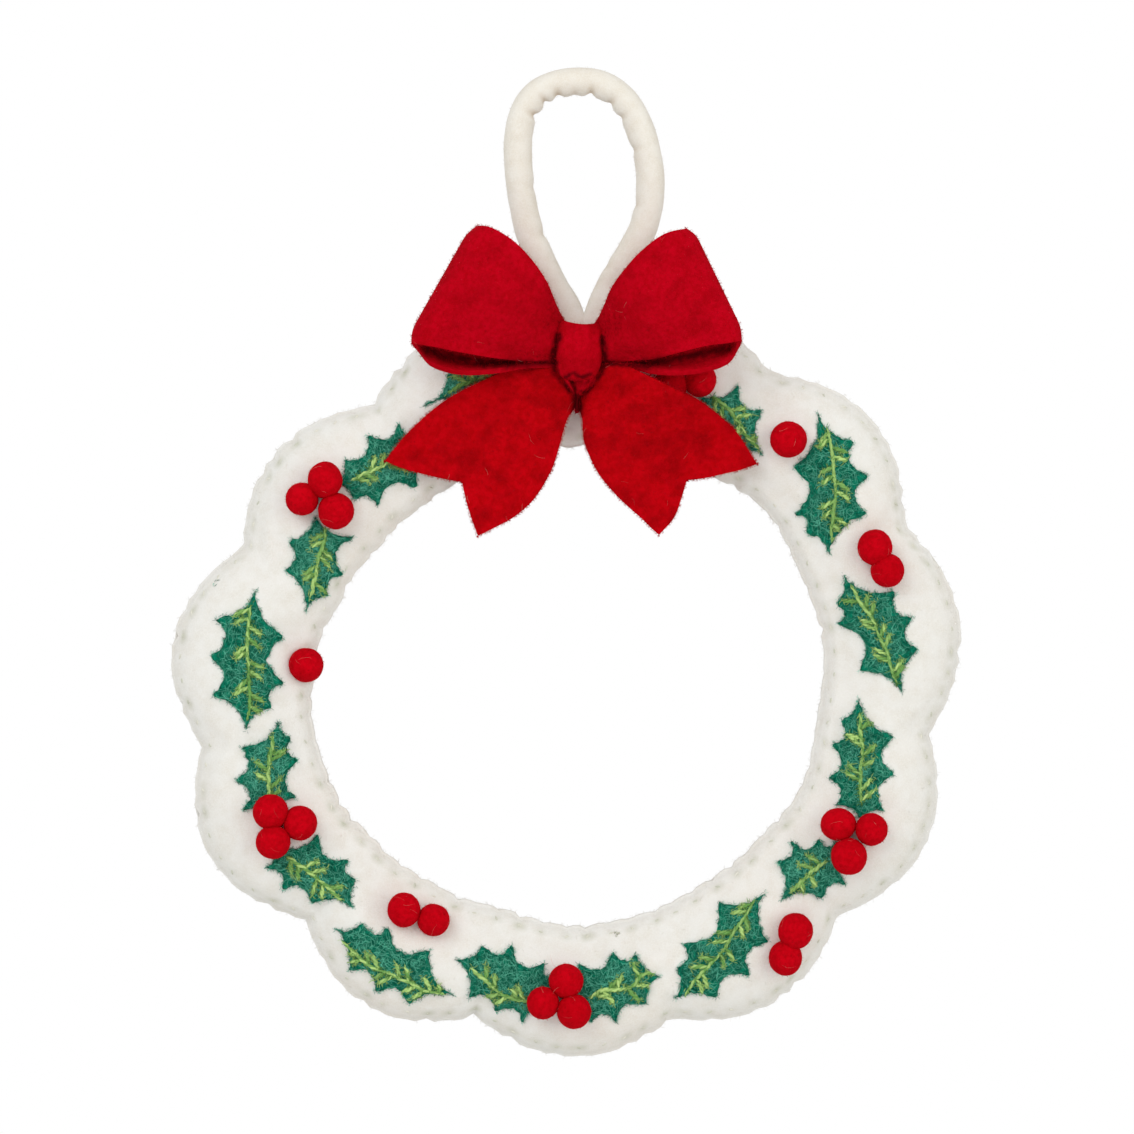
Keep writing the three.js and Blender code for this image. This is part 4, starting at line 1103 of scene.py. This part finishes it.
def paint_cleft_shade(piece):
    """Paints shade on the points of a piece that lie along the shaded lines, as the camera sees them: a darker colour
    for its material to mix in.
    """
    points = points_of(piece) / MM
    scale = PIXEL * (CAMERA_DISTANCE + points[:, 1]) / CAMERA_DISTANCE
    at = np.stack([FRAME_PIXELS / 2 + (points[:, 0] - CAMERA_X) / scale,
                   FRAME_PIXELS / 2 - (points[:, 2] - CAMERA_Z) / scale], axis=1)
    dark = np.zeros(len(at))
    ragged = 1 + 0.8 * uneven(points, 2.0, 31)
    for line, width, strength, highest in painted_shade_lines:
        line = along(line, 24)
        near = np.linalg.norm(at[:, None] - line[None], axis=2).min(axis=1)
        here = strength * np.exp(-(near / width) ** 2) * ragged * (-points[:, 1] < highest)
        dark = np.maximum(dark, np.clip(here, 0, 1))
    # The darkening is painted shade, kept in the attribute that also holds the ring's stitch marks
    mark(piece.data, "stitch_marks_and_painted_shade", dark)


# Each piece of the bow gets painted shade in its clefts and hollows
for piece in bow_pieces.values():
    paint_cleft_shade(piece)

# The hanging loop: its thickness in mm, its middle line in pixels, where it is drawn together inside its bends, in
# pixels and mm, and how far its ends lie forward over the ring's top edge: drops below the hook and heights in
# front of the seam, in mm
TUBE = 12.0
loop_line = [
    (575, 333), (571, 320), (566, 306), (555, 288), (543, 264), (529, 230), (521, 190), (518, 150), (522, 118),
    (536, 95), (556, 85), (580, 82), (604, 86), (626, 103), (641, 132), (649, 165), (650, 195), (644, 225),
    (632, 250), (615, 277), (604, 300), (598, 316), (592, 333),
]
tube_creases = [
    ((530, 112), 2.2), ((540, 98), 1.9), ((556, 92), 2.1), ((574, 90), 0.8), ((592, 92), 1.9), ((611, 104), 1.6),
    ((621, 118), 1.3), ((635, 150), 0.9), ((638, 205), 0.8), ((535, 236), 0.9), ((522, 190), 0.6), ((612, 268), 0.6),
]
LEG_DROPS = [80, 83, 86.4, 89.4, 92.4, 95.4, 99]
LEG_HEIGHTS = [0, 1.5, 4.5, 7.6, 10.3, 12.4, 13.6]


def hanging_loop(around=28, steps=190):
    """The felt tube, flattened at its two sewn ends."""
    line = evenly(seen(along(loop_line, 200), 0), steps + 1)
    ahead = unit(np.gradient(line, axis=0))
    side = np.stack([ahead[:, 2], np.zeros(len(line)), -ahead[:, 0]], axis=1)
    crease_shade = []

    def place(points):
        row = np.rint((points[:, 2] + 1) / 2 * steps).astype(int)
        turn = np.arctan2(points[:, 1], points[:, 0])
        # The tube is round but for its last 16 steps, which are pressed flat
        round_it = eased(np.minimum(row, steps - row) / 16)
        inside = np.clip(np.cos(turn) * 0.8 + 0.2, 0, 1) ** 1.5
        crease = np.zeros(len(points))
        for pixel, deep in tube_creases:
            nearest = np.argmin(np.linalg.norm(line - seen(pixel, 0), axis=1))
            off = (row - nearest) * np.linalg.norm(line[1] - line[0])
            crease += deep * np.exp(-(off / 1.9) ** 2) * inside
        lumps = 0.25 * uneven(line[row] + np.stack([turn * 3, turn * 2, turn], axis=1), 8, 9)
        width = TUBE / 2 * (0.97 + 0.03 * round_it) - crease + lumps
        depth = TUBE / 2 * (0.42 + 0.58 * round_it) - 0.45 * crease + lumps
        forward = np.interp(-line[row, 2], LEG_DROPS, LEG_HEIGHTS)
        # The creases are also painted darker: painted shade that the loop felt mixes in as a beige
        crease_shade.append(np.clip(crease * 0.6, 0, 1))
        return (line[row] + side[row] * (width * np.cos(turn))[:, None]
                + np.array([0, 1, 0]) * (depth * np.sin(turn) - forward)[:, None])

    def add(**sizes):
        """Adds a grid, rolls it up into an open tube and closes its two ends."""
        bpy.ops.mesh.primitive_grid_add(**sizes)
        grid = bpy.context.object
        flat = points_of(grid)
        angle = (flat[:, 0] + 1) * np.pi
        move_points(grid, np.stack([np.cos(angle), np.sin(angle), flat[:, 1]], axis=1))
        face_outwards(grid)
        edit_all(grid, lambda: bpy.ops.mesh.select_all(action="DESELECT"), bpy.ops.mesh.select_non_manifold,
                 bpy.ops.mesh.edge_face_add)

    tube = shaped("hanging_tube", add, place, size=2, x_subdivisions=around, y_subdivisions=steps)
    # Painted shade in the tube's creases, for its material to read
    mark(tube.data, "stitch_marks_and_painted_shade", crease_shade[0])
    finish_with(tube, "SUBSURF", levels=1, render_levels=1)
    face_outwards(tube)
    smooth(tube, 80)
    return tube


tube = hanging_loop()

# Materials

def colour(seen_as):
    """A colour written as the eye sees it, from 0 to 255, turned into light."""
    values = np.array(seen_as) / 255
    linear = np.where(values <= 0.04045, values / 12.92, ((values + 0.055) / 1.055) ** 2.4)
    return (*linear, 1.0)


def feed(tree, node, inputs):
    """Sets a node's inputs to values, or links them to the sockets that feed them."""
    for name, value in inputs.items():
        if isinstance(value, bpy.types.NodeSocket):
            tree.links.new(value, node.inputs[name])
        else:
            node.inputs[name].default_value = value


def add_node(tree, kind, inputs=None, **settings):
    """Adds a shader node with these settings and inputs, and gives its outputs."""
    node = tree.nodes.new("ShaderNode" + kind)
    for setting, value in settings.items():
        setattr(node, setting, value)
    feed(tree, node, inputs or {})
    return node.outputs


def add_material(name):
    """A new material, its node tree and its shader."""
    material = bpy.data.materials.new(name)
    material.use_nodes = True
    return material, material.node_tree, material.node_tree.nodes["Principled BSDF"]


def felt_group():
    """Curly fibres, soft mottling, broad stains and a height for matted wool."""
    group = bpy.data.node_groups.new("matted_wool", "ShaderNodeTree")
    face = group.interface
    for name, value in (("Fibre Size", 900.0), ("Mottle Size", 160.0), ("Stain Size", 18.0), ("Seed", 0.0)):
        face.new_socket(name, in_out="INPUT", socket_type="NodeSocketFloat").default_value = value
    for name in ("Fibres", "Mottle", "Stains", "Height"):
        face.new_socket(name, in_out="OUTPUT", socket_type="NodeSocketFloat")
    enter, leave = group.nodes.new("NodeGroupInput").outputs, group.nodes.new("NodeGroupOutput")

    def noise_of(size, detail, vector):
        return add_node(group, "TexNoise", {"Scale": size, "Vector": vector, "Detail": detail})

    def scaled(socket, factor):
        return add_node(group, "Math", {0: socket, 1: factor}, operation="MULTIPLY")[0]

    place = add_node(group, "TexCoord")["Object"]
    shift = add_node(group, "VectorMath", {0: place, 1: enter["Seed"]}, operation="ADD")[0]
    warp = noise_of(scaled(enter["Fibre Size"], 0.55), 2.0, shift)["Color"]
    bent = add_node(group, "VectorMath", {0: warp, 1: (0.0022, 0.0022, 0.0022), 2: shift},
                    operation="MULTIPLY_ADD")[0]
    lines = {}
    for factor, width in ((1.0, 0.11), (0.62, 0.075)):
        cells = add_node(group, "TexVoronoi", {"Vector": bent, "Scale": scaled(enter["Fibre Size"], factor)},
                         feature="DISTANCE_TO_EDGE")
        line = {"Value": cells["Distance"], "From Max": width, "To Min": 1.0, "To Max": 0.0}
        lines[len(lines)] = add_node(group, "MapRange", line, interpolation_type="SMOOTHSTEP")["Result"]
    fibres = add_node(group, "Math", lines, operation="MAXIMUM")[0]
    fine = noise_of(enter["Fibre Size"], 3.0, bent)["Fac"]
    feed(group, leave, {
        "Fibres": fibres,
        "Mottle": noise_of(enter["Mottle Size"], 4.0, shift)["Fac"],
        "Stains": noise_of(enter["Stain Size"], 2.0, shift)["Fac"],
        "Height": add_node(group, "Math", {0: scaled(fibres, 0.5), 1: fine}, operation="ADD")[0],
    })
    return group


wool = felt_group()


def felt_material(name, main, dark, light, stain, fibre_size=900.0, mottle_size=160.0, stain_size=18.0, seed=0.0,
                  fibre_amount=0.35, stain_amount=0.25, bump=0.35, sheen=0.08, stitch_marks_and_painted_shade=None, marked=0.85):
    """A matt felt: its main colour mottled darker, with lighter fibres and broad soft stains."""
    material, tree, shader = add_material(name)
    felt = add_node(tree, "Group", {"Fibre Size": fibre_size, "Mottle Size": mottle_size,
                                    "Stain Size": stain_size, "Seed": seed}, node_tree=wool)

    def mixed(mask, low, high, amount, first, second):
        """Mixes the second colour in where the mask is above low, by this amount where it reaches high."""
        reach = {"Value": mask, "From Min": low, "From Max": high, "To Max": amount}
        return add_node(tree, "Mix", {"Factor": add_node(tree, "MapRange", reach)["Result"], "A": first,
                                      "B": colour(second)}, data_type="RGBA")["Result"]

    base = mixed(felt["Mottle"], 0.38, 0.66, 1.0, colour(main), dark)
    base = mixed(felt["Stains"], 0.45, 0.70, stain_amount, base, stain)
    base = mixed(felt["Fibres"], 0.0, 1.0, fibre_amount, base, light)
    # The attribute holds the ring's stitch marks, and painted shade on the bow's clefts and in the hanging tube's
    # creases
    if stitch_marks_and_painted_shade:
        marks = add_node(tree, "Attribute", attribute_name="stitch_marks_and_painted_shade")
        base = mixed(marks["Fac"], 0.1, 1.2, marked, base, stitch_marks_and_painted_shade)
    raised = add_node(tree, "Bump", {"Strength": bump, "Distance": 0.0004, "Height": felt["Height"]})
    feed(tree, shader, {
        "Base Color": base, "Normal": raised["Normal"], "Roughness": 0.92, "Specular IOR Level": 0.03,
        "Sheen Weight": sheen, "Sheen Roughness": 0.5, "Sheen Tint": colour(light),
    })
    return material


def wool_strand(name, dark, light):
    """Loose wool: every strand has a tone of its own between the two colours."""
    material, tree, shader = add_material(name)
    tone = add_node(tree, "Attribute", attribute_name="tone")["Fac"]
    place = add_node(tree, "TexCoord")["Object"]
    specks = add_node(tree, "TexNoise", {"Scale": 700, "Vector": place})["Fac"]
    total = add_node(tree, "Math", {0: specks, 1: 0.5, 2: tone}, operation="MULTIPLY_ADD")[0]
    reach = add_node(tree, "MapRange", {"Value": total, "From Min": 0.3, "From Max": 1.15})["Result"]
    mix = add_node(tree, "Mix", {"Factor": reach, "A": colour(dark), "B": colour(light)}, data_type="RGBA")
    feed(tree, shader, {"Base Color": mix["Result"], "Roughness": 0.9, "Specular IOR Level": 0.04})
    return material



# The felts, with their main colour, darker mottling, lighter fibres and stains, and then the loose wool
cream = felt_material("cream_felt", (233, 232, 227), (227, 224, 216), (240, 239, 235), (232, 219, 206),
                      fibre_amount=0.5, stain_amount=0.3, bump=0.3, sheen=0.1, stitch_marks_and_painted_shade=(205, 205, 190))
# The loop felt's last colour, a darker beige, is painted shade in the hanging tube's creases
loop_cream = felt_material("loop_felt", (236, 232, 222), (230, 224, 211), (242, 239, 232), (230, 217, 202),
                           seed=0.3, fibre_amount=0.5, bump=0.3, sheen=0.1, stitch_marks_and_painted_shade=(206, 188, 164))
green = felt_material("green_wool", (4, 126, 98), (0, 68, 52), (38, 164, 130), (2, 96, 78),
                      fibre_size=1100.0, mottle_size=560.0, fibre_amount=0.5, bump=0.7)
# The two red felts' last colour, (34, 0, 4), is painted shade, laid into the bow's clefts and hollows
red = felt_material("loop_red_felt", (188, 1, 24), (170, 0, 14), (204, 8, 32), (146, 0, 8),
                    mottle_size=520.0, stain_size=110.0, seed=0.7, fibre_amount=0.25, stain_amount=0.6,
                    bump=0.5, stitch_marks_and_painted_shade=(34, 0, 4), marked=1.0)
# Its last colour is painted shade in the bow's clefts too
tail_red = felt_material("tail_red_felt", (188, 1, 14), (168, 0, 6), (200, 8, 20), (128, 0, 4),
                         mottle_size=420.0, stain_size=120.0, seed=1.9, fibre_amount=0.25, stain_amount=0.65,
                         bump=0.5, stitch_marks_and_painted_shade=(34, 0, 4), marked=1.0)
berry_red = felt_material("berry_wool", (198, 1, 20), (174, 0, 12), (206, 8, 28), (172, 0, 10),
                          mottle_size=520.0, stain_size=90.0, seed=1.3, fibre_amount=0.25, stain_amount=0.5)
wadding = felt_material("wadding_wool", (244, 242, 238), (236, 234, 230), (250, 249, 247), (240, 236, 230),
                        fibre_size=500.0, seed=2.4, fibre_amount=0.6, bump=0.8)
green_ends = wool_strand("green_strands", (0, 96, 74), (116, 216, 186))
vein_yarn = wool_strand("vein_yarn", (104, 156, 82), (182, 216, 132))
red_ends = wool_strand("red_strands", (168, 0, 14), (206, 14, 34))
cream_ends = wool_strand("cream_strands", (228, 224, 214), (242, 240, 234))
seam_thread = wool_strand("seam_thread", (204, 206, 190), (228, 226, 214))
pale_hair = wool_strand("pale_hairs", (206, 90, 88), (228, 160, 148))


def add_strands(piece, extra, material):
    """Joins loose strands of a material of their own to a piece."""
    name = piece.name
    extra.data.materials.append(material)
    return join([piece, extra], name)


# Each piece gets its material, its loose wool, its place on the bodies and what the frame has to know of it
for face, node, seed in ((front_face, "front_panel", 1), (back_face, "back_panel", 2)):
    dress(face, cream)
    add_strands(face, fluff(face, face.name + "_fluff", count=1800, length=2.4, seed=seed), cream_ends)
    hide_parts(node)
for index, (pad, wool_ends, veins, vein_ends) in enumerate(leaf_parts):
    dress(pad, green)
    for extra, material in ((wool_ends, green_ends), (veins, vein_yarn), (vein_ends, vein_yarn)):
        pad = add_strands(pad, extra, material)
    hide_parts(f"holly_leaf_{index + 1:02d}")
for edge_name, thread_piece in threads.items():
    dress(thread_piece, seam_thread, nodes=[edge_name + "_seam_thread"])
for index, ball in enumerate(balls):
    dress(ball, berry_red)
    nap = fluff(ball, "berry_fluff", count=180, length=1.3, seed=400 + index, standing=0.6, radius=0.045)
    ball = add_strands(ball, nap, red_ends)
    hairs = fluff(ball, "berry_hairs", count=3, length=5.0, seed=430 + index, standing=0, radius=0.035, curl=1.4)
    ball = add_strands(ball, hairs, pale_hair)
    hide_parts(f"berry_{index + 1:02d}")

# Each strip of the bow gets its material, its loose wool and pale hairs; the loops go on the wreath's body and the
# tails' places are baked into their meshes
for side in ("left", "right"):
    outwards = -1 if side == "left" else 1
    for part, count, felt in (("loop_", 2400, red), ("tail_", 2000, tail_red)):
        piece = bow_pieces[part + side]
        dress(piece, felt, body=None)
        seed = 500 + count + outwards
        nap = fluff(piece, "bow_fluff", count, length=1.7, seed=seed, standing=0.8, radius=0.065)
        hairs = fluff(piece, "bow_hairs", 9, length=4.6, seed=seed + 20, standing=0, radius=0.035, curl=1.2)
        piece = add_strands(add_strands(piece, nap, red_ends), hairs, pale_hair)
        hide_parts("bow_" + part + side)
        if part == "loop_":
            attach(piece, "wreath")
        else:
            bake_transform(piece)

knot = bow_pieces["knot"]
dress(knot, red, nodes=["bow_knot"])
add_strands(knot, fluff(knot, "knot_fluff", count=260, length=1.6, seed=600, radius=0.06), red_ends)
dress(tube, loop_cream, body=None)
nap = fluff(tube, "tube_fluff", count=900, length=1.5, seed=610, standing=0.7, radius=0.045)
add_strands(tube, nap, cream_ends)
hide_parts("hanging_loop")
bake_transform(tube)
dress(filling, wadding, nodes=["stuffing"])

# The floor, the lights, the white surroundings and the camera
bpy.ops.object.select_all(action="DESELECT")
bpy.ops.mesh.primitive_circle_add(vertices=96, radius=1.2, fill_type="NGON", location=(0, 0, -0.6))
floor = bpy.context.object
floor.name = "floor"
paint, tree, shader = add_material("floor_paint")
feed(tree, shader, {"Base Color": colour((240, 240, 238)), "Roughness": 0.8})
floor.data.materials.append(paint)


def panel_light(name, place, target, size, power, tint=(1, 1, 1)):
    """A square light that faces its target."""
    data = bpy.data.lights.new(name, "AREA")
    data.shape = "RECTANGLE"
    data.size = data.size_y = size
    data.energy = power
    data.color = tint
    lamp = bpy.data.objects.new(name, data)
    scene.collection.objects.link(lamp)
    lamp.location = place
    lamp.rotation_euler = (Vector(target) - Vector(place)).to_track_quat("-Z", "Y").to_euler()


wreath_middle = (-0.005, 0, -0.2)
panel_light("key", (-1.0, -2.0, 1.0), wreath_middle, size=1.6, power=21)
panel_light("fill", (1.5, -1.8, 0.1), wreath_middle, size=1.6, power=13, tint=(1.0, 0.97, 0.91))

# The white surroundings light the wreath softly and look fully white themselves
SOFT_LIGHT = 0.66
world = bpy.data.worlds.new("studio")
scene.world = world
world.use_nodes = True
tree = world.node_tree
tree.nodes.clear()
soft, white = (add_node(tree, "Background", {"Color": (1, 1, 1, 1), "Strength": strength})[0]
               for strength in (SOFT_LIGHT, 1.0))
path = add_node(tree, "LightPath")
looked_at = path["Is Camera Ray"]
for ray in ("Is Glossy Ray", "Is Transmission Ray"):
    looked_at = add_node(tree, "Math", {0: looked_at, 1: path[ray]}, operation="MAXIMUM")[0]
blend = add_node(tree, "MixShader", {"Fac": looked_at, 1: soft, 2: white})[0]
add_node(tree, "OutputWorld", {"Surface": blend})
scene.view_settings.view_transform = "Standard"

lens = bpy.data.cameras.new("camera")
lens.sensor_width = 36
lens.lens = lens.sensor_width * CAMERA_DISTANCE / (FRAME_PIXELS * PIXEL)
lens.clip_start, lens.clip_end = 0.05, 20
camera = bpy.data.objects.new("camera", lens)
scene.collection.objects.link(camera)
camera.location = (CAMERA_X * MM, -CAMERA_DISTANCE * MM, CAMERA_Z * MM)
camera.rotation_euler = (math.pi / 2, 0, 0)
scene.camera = camera
